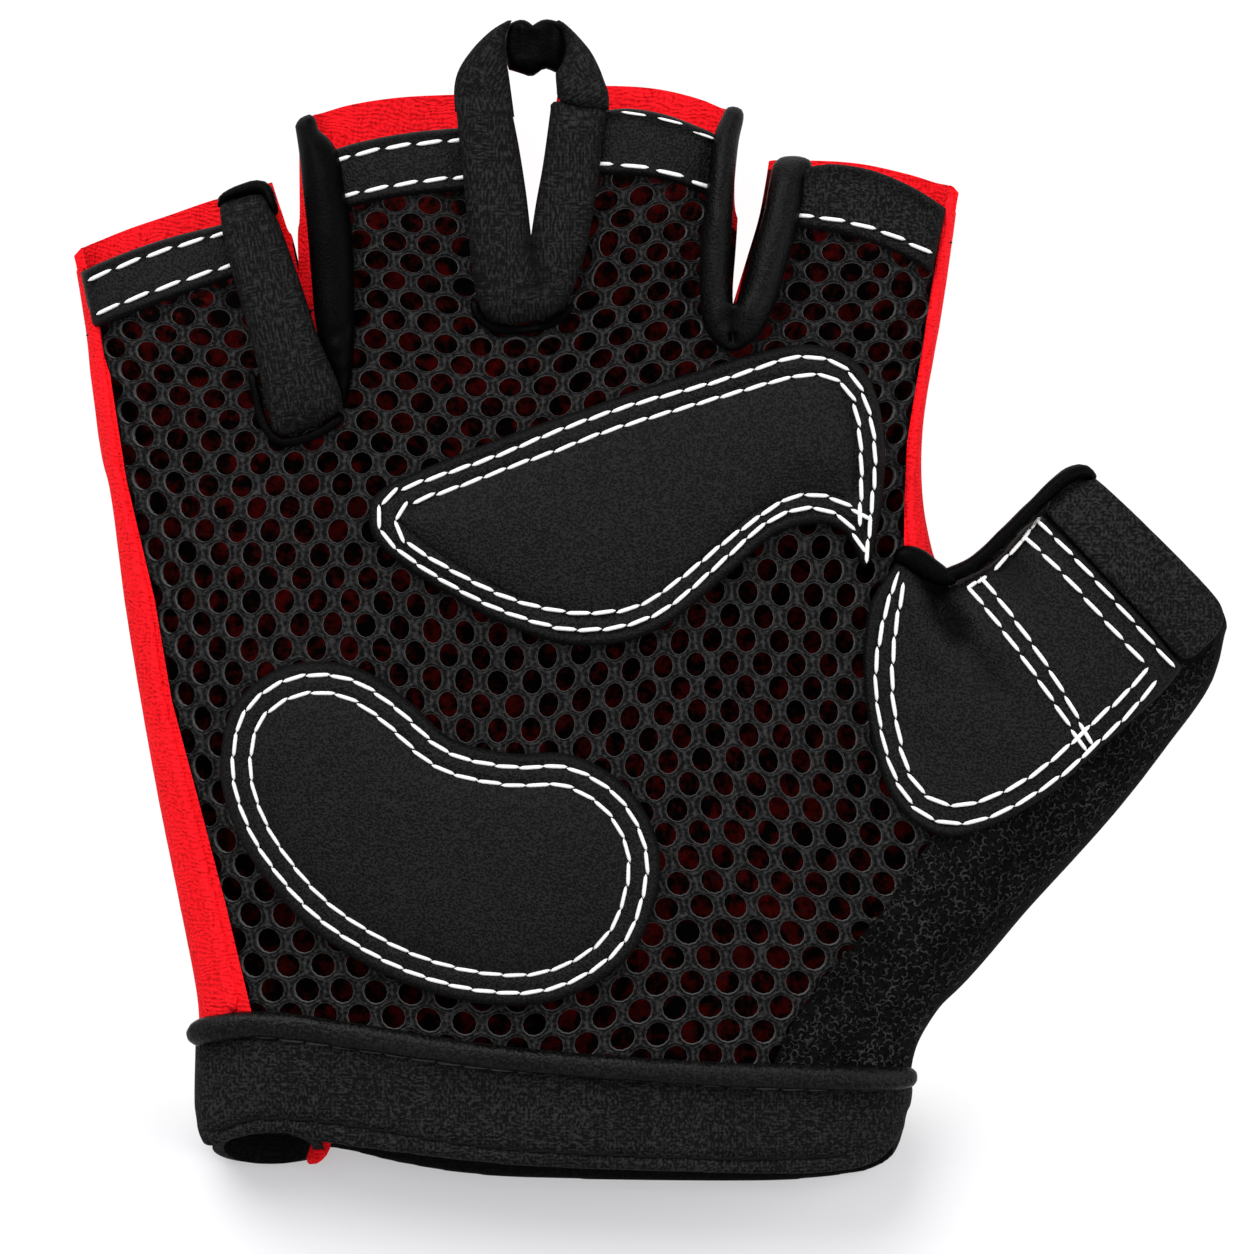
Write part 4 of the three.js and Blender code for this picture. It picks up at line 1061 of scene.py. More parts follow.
def keptNet(centres):
    keep = insideLoop(centres, netEdge) | (edgeDistance(centres, netEdge) < net["edge"])
    keep &= surface.slope(centres) > net["steepest"]
    keep &= insideLoop(centres, trimLoop) & (edgeDistance(centres, trimLoop) > net["mouth"])
    for rows in fingerMouths:
        keep &= ~insideLoop(centres, grown(toPlan(rows), net["mouth"]))
    # the net stops a little way under the pads
    for rows in (upperPad, heelPad):
        cover = smoothLoop(rows, 0.0009)
        keep &= ~(insideLoop(centres, cover) & (edgeDistance(centres, cover) > net["underPad"]))
    return keep


def cutNet(thing):
    work = bmesh.new()
    work.from_mesh(thing.data)
    keep = keptNet(np.array([face.calc_center_median()[:2] for face in work.faces]))
    gone = [face for face, ok in zip(list(work.faces), keep) if not ok]
    bmesh.ops.delete(work, geom=gone, context="FACES")
    work.to_mesh(thing.data)
    work.free()


palmNet = growWith(netLattice(), netTree(), {"Cord": net["cord"], "Finish": finishes["net"]})
cutNet(palmNet)
solid = palmNet.modifiers.new("thickness", "SOLIDIFY")
solid.thickness = net["thick"]
solid.offset = -1.0
level = palmNet.modifiers.new("round", "SUBSURF")
level.levels = level.render_levels = 1
bake(palmNet)
smoothFaces(palmNet)
wear(palmNet, "net")
finishPiece(palmNet, ["palm_net"])
print("palm net", len(palmNet.data.polygons))

# padded palm pads
pad = {
    "edge": 0.0017, "round": 0.0009, "puff": 0.0013, "reach": 0.0035, "channel": 0.0005,
    "channelWidth": 0.0004,
    "insets": (
        0.0002, 0.0005, 0.0009, 0.0013, 0.0016, 0.0019, 0.0022, 0.0027, 0.0033, 0.0037, 0.0041, 0.0044,
        0.0048,
    ),
}
padRows = {"upper palm pad": (0.0017, 0.0041), "heel palm pad": (0.0019, 0.0044)}


def padProfile(far, rows):
    rise = roundEdge(far, pad["round"]) * pad["edge"]
    puff = pad["puff"] * (1 - np.exp(-np.clip(far - rows[1], 0, 1) / pad["reach"]))
    dips = sum(np.exp(-((far - at) / pad["channelWidth"]) ** 2) for at in rows) * pad["channel"]
    return rise + puff - dips * smoothStep(far / 0.001)


padPieces = []
for label, rows in (("upper palm pad", upperPad), ("heel palm pad", heelPad)):
    loop = smoothLoop(rows, 0.0009)
    piece = layPiece(label, loop, lambda far: padProfile(far, padRows[label]),
                     lambda plan: ripple(plan, 0.02, 5) * 0.00012, 0.0011, 0.0003, pad["insets"])
    wear(piece, "leather")
    finishPiece(piece, [label.replace(" ", "_")])
    padPieces.append((piece, loop, label))
    print(label, len(piece.data.polygons))

# thumb patch and bands
band = {
    "thick": 0.0012, "round": 0.0007, "roll": 0.0005, "row": 0.00155, "rowWidth": 0.00035, "dip": 0.0003,
}


def bandProfile(far):
    # a rolled edge, then a shallow channel along the stitches
    roll = band["roll"] * np.exp(-((far - band["round"]) / 0.0005) ** 2)
    dip = band["dip"] * np.exp(-((far - band["row"]) / band["rowWidth"]) ** 2)
    return roundEdge(far, band["round"]) * band["thick"] + roll - dip


thumbPatchRows = [
    (0.214, 0.0356, 1), (0.1924, 0.0039), (0.1846, -0.0296), (0.1837, -0.0631), (0.1872, -0.0974),
    (0.1941, -0.1309), (0.2062, -0.1644), (0.2244, -0.1867), (0.2496, -0.1996), (0.2738, -0.1979),
    (0.3128, -0.1824), (0.3466, -0.1618), (0.3804, -0.1309), (0.4151, -0.1017), (0.4428, -0.076),
    (0.4584, -0.0562, 1), (0.4263, -0.0176), (0.3917, 0.0185), (0.3579, 0.0545), (0.3388, 0.0734, 1),
    (0.3215, 0.0614), (0.3024, 0.0391), (0.2825, 0.0253), (0.2591, 0.0167), (0.2392, 0.021),
]


def thumbFolds(plan):
    # a deep crease out of the crotch with a soft ridge on either side, and two slacker folds
    rows = [
        ((0.2418, 0.0185), (0.2712, -0.0433), 0.0013, 0.0028),
        ((0.2279, 0.0099), (0.247, -0.0639), 0.0018, -0.0017),
        ((0.2608, 0.0116), (0.299, -0.0571), 0.0021, -0.0017),
        ((0.2695, -0.0227), (0.3076, -0.0948), 0.0019, 0.0010),
        ((0.3076, 0.0356), (0.3475, -0.0296), 0.0022, 0.0008),
        ((0.2002, -0.0845), (0.2435, -0.1361), 0.0024, 0.0004),
    ]
    return sum(creases(plan, [row]) for row in rows) + ripple(plan, 0.013, 21) * 0.00035


thumbPatch = layPiece("thumb patch", smoothLoop(thumbPatchRows, 0.0009), bandProfile, thumbFolds, base=0.0003)
wear(thumbPatch, "leather")
finishPiece(thumbPatch, ["thumb_patch"])

bandRows = {
    "little": [
        (-0.4931, 0.2837, 1), (-0.4601, 0.2966), (-0.4168, 0.3112), (-0.37, 0.3232), (-0.3527, 0.3283, 1),
        (-0.3423, 0.2828, 1), (-0.3596, 0.2768), (-0.4064, 0.2614), (-0.4497, 0.2451),
        (-0.4818, 0.2339, 1),
    ],
    "ring": [
        (-0.2782, 0.3867, 1), (-0.2695, 0.3884), (-0.2461, 0.3944), (-0.2071, 0.4013), (-0.1664, 0.4056),
        (-0.1482, 0.4073, 1), (-0.143, 0.3532, 1), (-0.1586, 0.3515), (-0.1941, 0.3489), (-0.2288, 0.3438),
        (-0.2617, 0.3361), (-0.2695, 0.3335, 1),
    ],
    "middle": [
        (-0.0529, 0.4227, 1), (-0.0364, 0.421), (-0.0147, 0.4219), (0.0173, 0.4159), (0.0546, 0.4021),
        (0.065, 0.397, 1), (0.0581, 0.3438, 1), (0.0477, 0.3489), (0.0269, 0.3567), (-0.0035, 0.3635),
        (-0.0425, 0.3652), (-0.0581, 0.3661, 1),
    ],
    "index": [
        (0.1282, 0.3721, 1), (0.1395, 0.373), (0.1612, 0.3747), (0.1941, 0.3687), (0.2279, 0.3549),
        (0.2574, 0.3378, 1), (0.2444, 0.282, 1), (0.2166, 0.2966), (0.1724, 0.3129), (0.1282, 0.3206),
        (0.1179, 0.3215, 1),
    ],
}
bandPieces = {}
for finger, rows in bandRows.items():
    piece = layPiece(f"{finger} finger band", smoothLoop(rows, 0.0008), bandProfile,
                     lambda plan: ripple(plan, 0.01, 3) * 0.00012)
    wear(piece, "knit" if finger == "index" else "leather")
    finishPiece(piece, [f"{finger}_finger_band"])
    bandPieces[finger] = piece


# swept soft bars: straps, bindings and piping
bar = {"spacing": 0.0007, "sides": 30, "perSpan": 24, "tip": 0.00012}


def sweepBar(name, rows, finish, corner=0.72, capReach=0.002, wrinkles=0.00012, seed=1, drape=False):
    # columns: x, y, z share, width share, thickness in metres
    table = roundCurve(np.array(rows, dtype=float), False, bar["perSpan"])
    height, wide = table[:, 2] * glove["palmHeight"], table[:, 3] * glove["width"]
    spots = np.column_stack([toPlan(table), height, wide, table[:, 4]])
    along = walked(spots[:, :3])
    count = max(4, int(along[-1] / bar["spacing"]))
    at = np.linspace(0, along[-1], count)
    spots = pointsAt(spots, along, at)
    if drape:
        spots[:, 2] = surface.height(spots[:, :2]) + rows[0][2] * glove["palmHeight"]
    centre, width, thick = spots[:, :3], spots[:, 3], spots[:, 4]
    tangent = np.gradient(centre, axis=0)
    tangent /= np.linalg.norm(tangent, axis=1, keepdims=True)
    rng = np.random.default_rng(seed)
    waves = [(rng.uniform(0.0035, 0.011), rng.uniform(-3, 3), rng.uniform(0, 6.28))
             for _ in range(waveCount["bar"])]
    turn = np.arange(bar["sides"]) / bar["sides"] * 2 * math.pi
    u, v = powered(np.cos(turn), corner), powered(np.sin(turn), corner)
    rings, runs = [], []
    for i in range(count):
        side = np.cross(tangent[i], (0.0, 0.0, 1.0))
        side /= np.linalg.norm(side)
        top = np.cross(side, tangent[i])
        fromEnd = min(at[i], at[-1] - at[i])
        cap = math.sqrt(max(0.0, 1 - (1 - min(1.0, (fromEnd + bar["tip"]) / capReach)) ** 2))
        swell = sum(np.sin(at[i] / wave * fullTurn + spin * turn + phase) for wave, spin, phase in waves)
        swell = swell / waveCount["bar"] * wrinkles
        across, lift = u * (width[i] / 2 + swell) * cap, v * (thick[i] / 2 + swell) * cap
        rings.append(centre[i] + np.outer(across, side) + np.outer(lift, top))
        runs.append(np.column_stack([np.full(bar["sides"], at[i]), u * width[i] / 2, np.zeros(bar["sides"])]))
    verts, faces = tubeSkin(rings)
    thing = makeObject(name, verts, [face[::-1] for face in faces])
    writeLayer(thing, "run", "FLOAT_VECTOR", np.vstack(runs))
    faceOut(thing)
    return wear(thing, finish)


def faceOut(thing):
    work = bmesh.new()
    work.from_mesh(thing.data)
    bmesh.ops.recalc_face_normals(work, faces=work.faces)
    work.to_mesh(thing.data)
    work.free()


def lineHeight(plan, ridges):
    # height at plan points, blended from rows of x, y, height share
    runs = [np.column_stack([toPlan(rows), np.array(rows)[:, 2] * glove["palmHeight"]]) for rows in ridges]
    spots = np.vstack([resample(run, 0.001, False) for run in runs])
    away = ((plan[:, None, :] - spots[None, :, :2]) ** 2).sum(axis=2) + 1e-7
    weight = away ** -2
    return (weight * spots[None, :, 2]).sum(axis=1) / weight.sum(axis=1)


puff = {
    "spacing": 0.0009, "insets": (0.00015, 0.0004, 0.0008, 0.0014, 0.0021), "edgeShade": 0.0009,
    "creaseShade": 0.0012,
}


def puffPiece(name, outline, ridges, finish, thick, edge, heading, folds, slack, seed):
    # soft folded strap: a closed pillow with rounded edges, its middle at the ridge heights
    loop = smoothLoop(outline, 0.0007)
    plan, faces = fillLoop(loop, puff["spacing"], puff["insets"])
    far = edgeDistance(plan, loop)
    far[:len(loop)] = 0.0
    crown = lineHeight(plan, ridges)
    lift = thick / 2 * roundEdge(far, edge, 0.004)
    cut = creases(plan, folds)
    shape = (ripple(plan, 0.009, seed) * slack + cut) * smoothStep(far / laid["flatEdge"])
    thing = closedSheet(name, plan, faces, crown - thick / 2 + lift + shape, crown - thick / 2 - lift)
    # painted shade, darker along the edge and in the creases
    shade = np.exp(-(far / puff["edgeShade"]) ** 2) * 0.5
    markPaintedShade(thing, shade + np.clip(-cut / puff["creaseShade"], 0.0, 1.0))
    turn = math.radians(heading)
    along = plan[:, 0] * math.cos(turn) + plan[:, 1] * math.sin(turn)
    across = plan[:, 1] * math.cos(turn) - plan[:, 0] * math.sin(turn)
    run = np.column_stack([along, across, np.zeros(len(plan))])
    writeLayer(thing, "run", "FLOAT_VECTOR", np.tile(run, (2, 1)))
    return wear(thing, finish)


def joinParts(things, name):
    # one mesh that keeps every part's own finish, its painted shade in creases and along edges, and the run
    # of its cloth
    runs, depths, slots, finishNames = [], [], [], []
    for thing in things:
        layers = thing.data.attributes
        deep, run = np.zeros(len(thing.data.vertices)), np.empty(len(thing.data.vertices) * 3)
        if "deep" in layers:
            layers["deep"].data.foreach_get("value", deep)
        layers["run"].data.foreach_get("vector", run)
        depths.append(deep)
        runs.append(run)
        finishName = thing.data.materials[0].name
        if finishName not in finishNames:
            finishNames.append(finishName)
        slots += [finishNames.index(finishName)] * len(thing.data.polygons)
    joined = joinObjects(things, name)
    writeLayer(joined, "run", "FLOAT_VECTOR", np.concatenate(runs))
    writeLayer(joined, "deep", "FLOAT", np.concatenate(depths))
    for finishName in finishNames:
        joined.data.materials.append(bpy.data.materials[finishName])
    joined.data.polygons.foreach_set("material_index", slots)
    return joined


# a flat welt of one width laid along a line
welt = {"height": 0.03, "width": 0.0078, "thick": 0.0015}


def weltBar(name, line):
    rows = [(x, y, welt["height"], welt["width"], welt["thick"]) for x, y in line]
    return sweepBar(name, rows, "smoothLeather", drape=True)


tabOutline = [
    (-0.3709, 0.3403, 1), (-0.3674, 0.3446), (-0.3544, 0.3498), (-0.3414, 0.3532), (-0.3302, 0.3498, 1),
    (-0.3241, 0.3361), (-0.3154, 0.3155), (-0.3024, 0.2803), (-0.292, 0.2502), (-0.2842, 0.227),
    (-0.2721, 0.1987), (-0.2652, 0.1807), (-0.2626, 0.1644, 1), (-0.2799, 0.1532), (-0.3024, 0.1446),
    (-0.3146, 0.1421), (-0.3224, 0.1472), (-0.3284, 0.1704), (-0.3362, 0.2021), (-0.3432, 0.2288),
    (-0.3544, 0.2674), (-0.3631, 0.2966), (-0.3683, 0.3206),
]
tabRidge = [
    (-0.3518, 0.3532, 0.7), (-0.3501, 0.3343, 0.88), (-0.3432, 0.2914, 0.99), (-0.3284, 0.2288, 1.075),
    (-0.3102, 0.1798, 1.1), (-0.2938, 0.1472, 1.08),
]
tabFolds = [
    ((-0.3302, 0.3017), (-0.3094, 0.2588), 0.0007, 0.0003),
    ((-0.3406, 0.3189), (-0.3302, 0.2674), 0.0005, 0.00025),
]
tabCapRows = [
    (-0.3709, 0.3395, 0.72, 0.0061, 0.0028), (-0.3674, 0.3455, 0.7, 0.0078, 0.0030),
    (-0.3605, 0.3498, 0.69, 0.0095, 0.0032), (-0.351, 0.3532, 0.68, 0.0104, 0.0032),
    (-0.3397, 0.3558, 0.68, 0.0113, 0.0032), (-0.331, 0.3532, 0.69, 0.0113, 0.0032),
    (-0.3258, 0.3438, 0.72, 0.0095, 0.0032), (-0.3224, 0.3326, 0.78, 0.0061, 0.0028),
]
tabWeltLine = [
    (-0.3423, 0.197), (-0.3371, 0.1747), (-0.331, 0.1524), (-0.318, 0.1369), (-0.2981, 0.1378),
    (-0.2782, 0.1464), (-0.2626, 0.1584),
]
pullTab = joinParts([
    puffPiece("tab", tabOutline, [tabRidge], "strapKnit", 0.0056, 0.0042, 102.0, tabFolds, 0.0003, 4),
    sweepBar("tab cap", tabCapRows, "smoothLeather", corner=0.85, capReach=0.001),
    weltBar("tab welt", tabWeltLine),
], "little ring pull tab")
finishPiece(pullTab, ["little_ring_pull_tab"])

legsOutline = [
    (-0.1664, 0.4296, 1), (-0.1508, 0.4339), (-0.1352, 0.4348), (-0.1248, 0.4305), (-0.1179, 0.4185, 1),
    (-0.1118, 0.3876), (-0.1057, 0.3489), (-0.1014, 0.312, 1), (-0.0971, 0.3403), (-0.091, 0.3747),
    (-0.0849, 0.4202, 1), (-0.0823, 0.427), (-0.0598, 0.427), (-0.0364, 0.4236, 1), (-0.0407, 0.3876),
    (-0.0451, 0.3489), (-0.0537, 0.3017), (-0.0624, 0.2734), (-0.0711, 0.2545), (-0.0832, 0.2442),
    (-0.0962, 0.2399), (-0.1187, 0.2365), (-0.1334, 0.2391), (-0.143, 0.2468), (-0.1482, 0.2605),
    (-0.1516, 0.2803), (-0.1551, 0.3146), (-0.1594, 0.3575), (-0.1646, 0.4064),
]
legRidges = [
    [
        (-0.1421, 0.4322, 0.945), (-0.1378, 0.3876, 0.985), (-0.1326, 0.3532, 1.02),
        (-0.1256, 0.2897, 1.06), (-0.1153, 0.2562, 1.06), (-0.0988, 0.2433, 1.03),
    ],
    [
        (-0.0615, 0.4322, 0.93), (-0.065, 0.3876, 0.97), (-0.0702, 0.3532, 1.0), (-0.0754, 0.2897, 1.05),
        (-0.0867, 0.2562, 1.05),
    ],
]
loopFolds = [
    ((-0.1014, 0.3103), (-0.0962, 0.2691), 0.0007, 0.0022),
    ((-0.0962, 0.2691), (-0.0806, 0.2794), 0.0006, 0.0007),
    ((-0.0962, 0.2674), (-0.0754, 0.2622), 0.0007, 0.0006),
    ((-0.0979, 0.2674), (-0.0901, 0.2485), 0.0007, 0.0004),
]
leftArch = [
    (-0.1672, 0.4193, 1), (-0.1681, 0.4391), (-0.1638, 0.4562), (-0.1516, 0.4742), (-0.1369, 0.4888),
    (-0.1248, 0.4966), (-0.1187, 0.4991), (-0.1205, 0.4931), (-0.1239, 0.4854), (-0.1239, 0.4691),
    (-0.1213, 0.4536), (-0.1187, 0.4348), (-0.1161, 0.415, 1),
]
rightArch = [
    (-0.0806, 0.4511, 1), (-0.0797, 0.4391), (-0.0771, 0.4279), (-0.0598, 0.421), (-0.0347, 0.4193, 1),
    (-0.0347, 0.433), (-0.039, 0.4459), (-0.0433, 0.4571), (-0.0511, 0.4717), (-0.0641, 0.4871),
    (-0.0745, 0.4966), (-0.0806, 0.4987), (-0.0771, 0.4931), (-0.0719, 0.4854), (-0.0711, 0.4734),
    (-0.0745, 0.4614),
]
innerArch = [
    (-0.1256, 0.4734), (-0.1222, 0.4931), (-0.1144, 0.4991), (-0.1066, 0.4991), (-0.1005, 0.4948, 1),
    (-0.0936, 0.4991), (-0.0867, 0.5), (-0.078, 0.4974), (-0.0711, 0.4897), (-0.0685, 0.4751),
    (-0.0719, 0.4528), (-0.0806, 0.4545, 1), (-0.0901, 0.4579), (-0.0971, 0.4536), (-0.1023, 0.4511),
    (-0.1101, 0.4536), (-0.1213, 0.4571, 1),
]
leftRidge = [
    (-0.1438, 0.415, 0.85), (-0.1438, 0.4476, 0.84), (-0.1308, 0.4777, 0.82), (-0.1187, 0.4974, 0.8),
]
rightRidge = [
    (-0.0572, 0.4193, 0.97), (-0.0589, 0.4476, 0.93), (-0.0685, 0.4777, 0.86), (-0.0815, 0.4974, 0.81),
]
innerRidge = [(-0.1248, 0.4562, 0.7), (-0.1005, 0.4906, 0.74), (-0.0754, 0.4562, 0.7)]
innerFolds = [
    ((-0.1005, 0.4957), (-0.0997, 0.4648), 0.0006, 0.0012),
    ((-0.1153, 0.4906), (-0.1118, 0.4597), 0.0009, 0.0006),
    ((-0.0841, 0.4906), (-0.0875, 0.4614), 0.0009, 0.0006),
]
loopWeltLine = [
    (-0.1516, 0.2588), (-0.1473, 0.2442), (-0.136, 0.2356), (-0.1187, 0.2322), (-0.0962, 0.2348),
    (-0.0771, 0.2416), (-0.0659, 0.2545),
]
pullLoop = joinParts([
    puffPiece("loop legs", legsOutline, legRidges, "strapKnit", 0.005, 0.0036, 90.0, loopFolds, 0.00025, 8),
    puffPiece("left arch", leftArch, [leftRidge], "strapKnit", 0.004, 0.003, 60.0, (), 0.0003, 9),
    puffPiece("right arch", rightArch, [rightRidge], "strapKnit", 0.004, 0.0026, 120.0, (), 0.0003, 10),
    # the strap's inner face lies in shade; it is painted as near-black smooth leather for that shade
    puffPiece("shaded inner arch", innerArch, [innerRidge], "smoothLeather", 0.0036, 0.0022, 0.0,
              innerFolds, 0.0002, 11),
    weltBar("loop welt", loopWeltLine),
], "ring middle pull loop")
finishPiece(pullLoop, ["ring_middle_pull_loop"])

ringOutline = [
    (-0.3059, 0.4082, 1), (-0.3033, 0.4142), (-0.2981, 0.4176), (-0.2929, 0.4189), (-0.2886, 0.415),
    (-0.2851, 0.4047), (-0.2773, 0.3979), (-0.2704, 0.3884), (-0.266, 0.3755), (-0.2617, 0.3489),
    (-0.2565, 0.3258), (-0.2539, 0.2914), (-0.253, 0.2459), (-0.253, 0.2202), (-0.2565, 0.1858),
    (-0.2617, 0.1635, 1), (-0.2669, 0.1747), (-0.273, 0.1944), (-0.2808, 0.2142), (-0.286, 0.2348),
    (-0.2894, 0.2674), (-0.2938, 0.3172), (-0.2981, 0.3532), (-0.3016, 0.3833),
]
ringRidge = [
    (-0.2964, 0.4159, 0.72), (-0.2877, 0.3961, 0.85), (-0.2808, 0.3532, 0.95), (-0.2738, 0.3103, 1.0),
    (-0.2695, 0.2588, 1.03), (-0.266, 0.2159, 1.04), (-0.2617, 0.1687, 1.0),
]
ringFolds = [
    ((-0.2574, 0.233), (-0.2764, 0.2202), 0.0006, 0.0006),
    ((-0.2565, 0.2142), (-0.273, 0.2056), 0.0006, 0.0006),
    ((-0.26, 0.1936), (-0.2695, 0.1884), 0.0006, 0.0005),
    ((-0.2868, 0.4064), (-0.273, 0.3661), 0.0012, 0.0005),
]
ringBinding = puffPiece("ring web binding", ringOutline, [ringRidge], "smoothLeather", 0.0056, 0.0032, 92.0,
                        ringFolds, 0.0003, 3)
finishPiece(ringBinding, ["ring_web_binding"])

middleOutline = [
    (0.0633, 0.4167), (0.0667, 0.4236), (0.0737, 0.4253), (0.0806, 0.4219), (0.0815, 0.4133),
    (0.0771, 0.3927), (0.0732, 0.3549), (0.0711, 0.3112), (0.0693, 0.2717), (0.0724, 0.2519, 1),
    (0.0806, 0.2674), (0.0893, 0.3009), (0.0988, 0.3335), (0.1049, 0.367), (0.1083, 0.3764),
    (0.1153, 0.382), (0.1282, 0.3828), (0.1386, 0.379), (0.1404, 0.3721), (0.1352, 0.3618),
    (0.1291, 0.3292), (0.1239, 0.3052), (0.117, 0.2828), (0.1083, 0.2545), (0.0971, 0.2305),
    (0.0841, 0.2185), (0.0711, 0.2133), (0.0581, 0.2185), (0.0468, 0.2356), (0.0433, 0.2665),
    (0.0442, 0.3094), (0.0485, 0.3421), (0.052, 0.3764), (0.0563, 0.4004),
]
middleRidges = [
    [
        (0.0737, 0.4219, 0.76), (0.0676, 0.3961, 0.87), (0.0615, 0.3532, 0.96), (0.0572, 0.3103, 1.0),
        (0.0563, 0.2674, 1.03), (0.0615, 0.2373, 1.035), (0.0711, 0.2176, 1.0),
    ],
    [
        (0.1222, 0.3807, 0.74), (0.1205, 0.3618, 0.86), (0.1144, 0.3309, 0.95), (0.1066, 0.2966, 1.0),
        (0.0962, 0.2622, 1.03), (0.0823, 0.233, 1.035),
    ],
]
middleFolds = [
    ((0.0719, 0.2622), (0.0711, 0.1936), 0.0006, 0.0026),
    ((0.0667, 0.2588), (0.0546, 0.2313), 0.0009, -0.0006),
    ((0.0789, 0.2588), (0.0893, 0.2365), 0.0009, -0.0006),
    ((0.0633, 0.2399), (0.0511, 0.2245), 0.0006, 0.0005),
]
middleBinding = puffPiece("middle web binding", middleOutline, middleRidges, "binding", 0.0054, 0.0024, 90.0,
                          middleFolds, 0.0003, 5)
finishPiece(middleBinding, ["middle_web_binding"])
print("straps and bindings")

# thumb end band, piping and crotch web
def formRing(name, outer, inner, cutter):
    # the layer between two offsets of the form, inside the cutter
    ring = combine(offsetForm(form, outer, name), offsetForm(form, inner, "inner"), "DIFFERENCE")
    return combine(ring, cutter, "INTERSECT")


thumbBandRows = [
    (0.3492, 0.0957, 1), (0.3414, 0.0768, 1), (0.3562, 0.0588), (0.3908, 0.021), (0.4255, -0.0159),
    (0.4523, -0.0459), (0.4645, -0.0485), (0.4792, -0.0373), (0.4913, -0.0245), (0.4939, -0.009),
    (0.4818, 0.009), (0.4359, 0.0554), (0.3839, 0.1069, 1), (0.3683, 0.1069, 1),
]
thumbRing = {"out": 0.0019, "in": 0.0001, "voxel": 0.00045, "factor": 0.5, "passes": 6}
thumbCut = prism("cut", smoothLoop(thumbBandRows, 0.001))
thumbBand = formRing("thumb end band", thumbRing["out"], thumbRing["in"], thumbCut)
remeshed(thumbBand, thumbRing["voxel"], thumbRing["factor"], thumbRing["passes"])
wear(thumbBand, "knit")
smoothFaces(thumbBand)
finishPiece(thumbBand, ["thumb_end_band"])

thumbPipingRows = [
    (0.247, 0.0185, 0.84, 0.0113, 0.0028), (0.2574, 0.0219, 0.845, 0.013, 0.0030),
    (0.2695, 0.027, 0.845, 0.013, 0.0030), (0.2834, 0.0356, 0.84, 0.013, 0.0030),
    (0.3007, 0.0511, 0.84, 0.013, 0.0030), (0.3189, 0.0691, 0.83, 0.013, 0.0030),
    (0.3371, 0.0871, 0.82, 0.013, 0.0030), (0.3527, 0.1017, 0.81, 0.013, 0.0030),
    (0.3631, 0.1086, 0.79, 0.0139, 0.0031), (0.3735, 0.1112, 0.75, 0.013, 0.0030),
    (0.3821, 0.1052, 0.68, 0.0113, 0.0030),
]
thumbPiping = sweepBar("thumb piping", thumbPipingRows, "smoothLeather", seed=12, corner=0.9, capReach=0.0012)
finishPiece(thumbPiping, ["thumb_piping"])
crotchRows = [
    (0.2106, 0.0356, 0.85, 0.0121, 0.0030), (0.2192, 0.0391, 0.855, 0.0173, 0.0034),
    (0.2314, 0.0348, 0.85, 0.0208, 0.0036), (0.2435, 0.0262, 0.845, 0.0191, 0.0036),
    (0.2556, 0.0202, 0.84, 0.0156, 0.0034), (0.266, 0.0219, 0.84, 0.0113, 0.0030),
]
crotchWeb = sweepBar("thumb crotch web", crotchRows, "smoothLeather", seed=13, corner=0.9, capReach=0.0014)
finishPiece(crotchWeb, ["thumb_crotch_web"])

# cuff, its piping, the curled fold and the red closure tip
cuff = {"out": 0.0005, "in": -0.0017, "voxel": 0.00062, "factor": 0.5, "passes": 5}
cuffPalmHem = [
    (-0.4411, -0.4313), (-0.3977, -0.4382), (-0.3917, -0.4545), (-0.383, -0.4691), (-0.3666, -0.4639),
    (-0.3501, -0.4588), (-0.3284, -0.4549), (-0.3111, -0.4554), (-0.2938, -0.4597), (-0.2678, -0.4648),
    (-0.221, -0.4708), (-0.1568, -0.4785), (-0.0771, -0.4845), (0.0962, -0.4897), (0.1655, -0.488),
    (0.195, -0.4811), (0.2114, -0.4682), (0.2201, -0.4519), (0.2279, -0.4348), (0.2695, -0.4107),
    (0.2695, -0.591), (-0.4411, -0.591),
]
cuffBackHem = [
    (-0.4411, -0.433), (-0.3977, -0.4399), (-0.3908, -0.4571), (-0.3787, -0.4742), (-0.3284, -0.4777),
    (-0.2747, -0.4768), (-0.221, -0.4888), (-0.1568, -0.4991), (-0.0771, -0.5034), (0.0962, -0.5052),
    (0.1742, -0.4991), (0.2019, -0.4906), (0.2158, -0.476), (0.2227, -0.4571), (0.2296, -0.4382),
    (0.2695, -0.4142), (0.2695, -0.591), (-0.4411, -0.591),
]


def hemLine(rows):
    top = roundCurve(toPlan(rows[:-2]), False)
    return np.vstack([top, toPlan(rows[-2:])])


wristCuff = formRing("wrist cuff", cuff["out"], cuff["in"], prism("cuff", toPlan(cuffBelow)))
combine(wristCuff, prism("palm hem", hemLine(cuffPalmHem), splitZ), "DIFFERENCE")
combine(wristCuff, prism("back hem", hemLine(cuffBackHem), high=splitZ + 0.00001), "DIFFERENCE")
remeshed(wristCuff, cuff["voxel"], cuff["factor"], cuff["passes"])
hemSeamRows = [
    (-0.3891, -0.4485), (-0.3744, -0.4536), (-0.3501, -0.4451), (-0.325, -0.4425), (-0.286, -0.4442),
    (-0.221, -0.4536), (-0.1568, -0.4639), (-0.0771, -0.4708), (0.0962, -0.4768), (0.208, -0.4708),
    (0.2279, -0.4674),
]
hemSeam = roundCurve(toPlan(hemSeamRows), False)


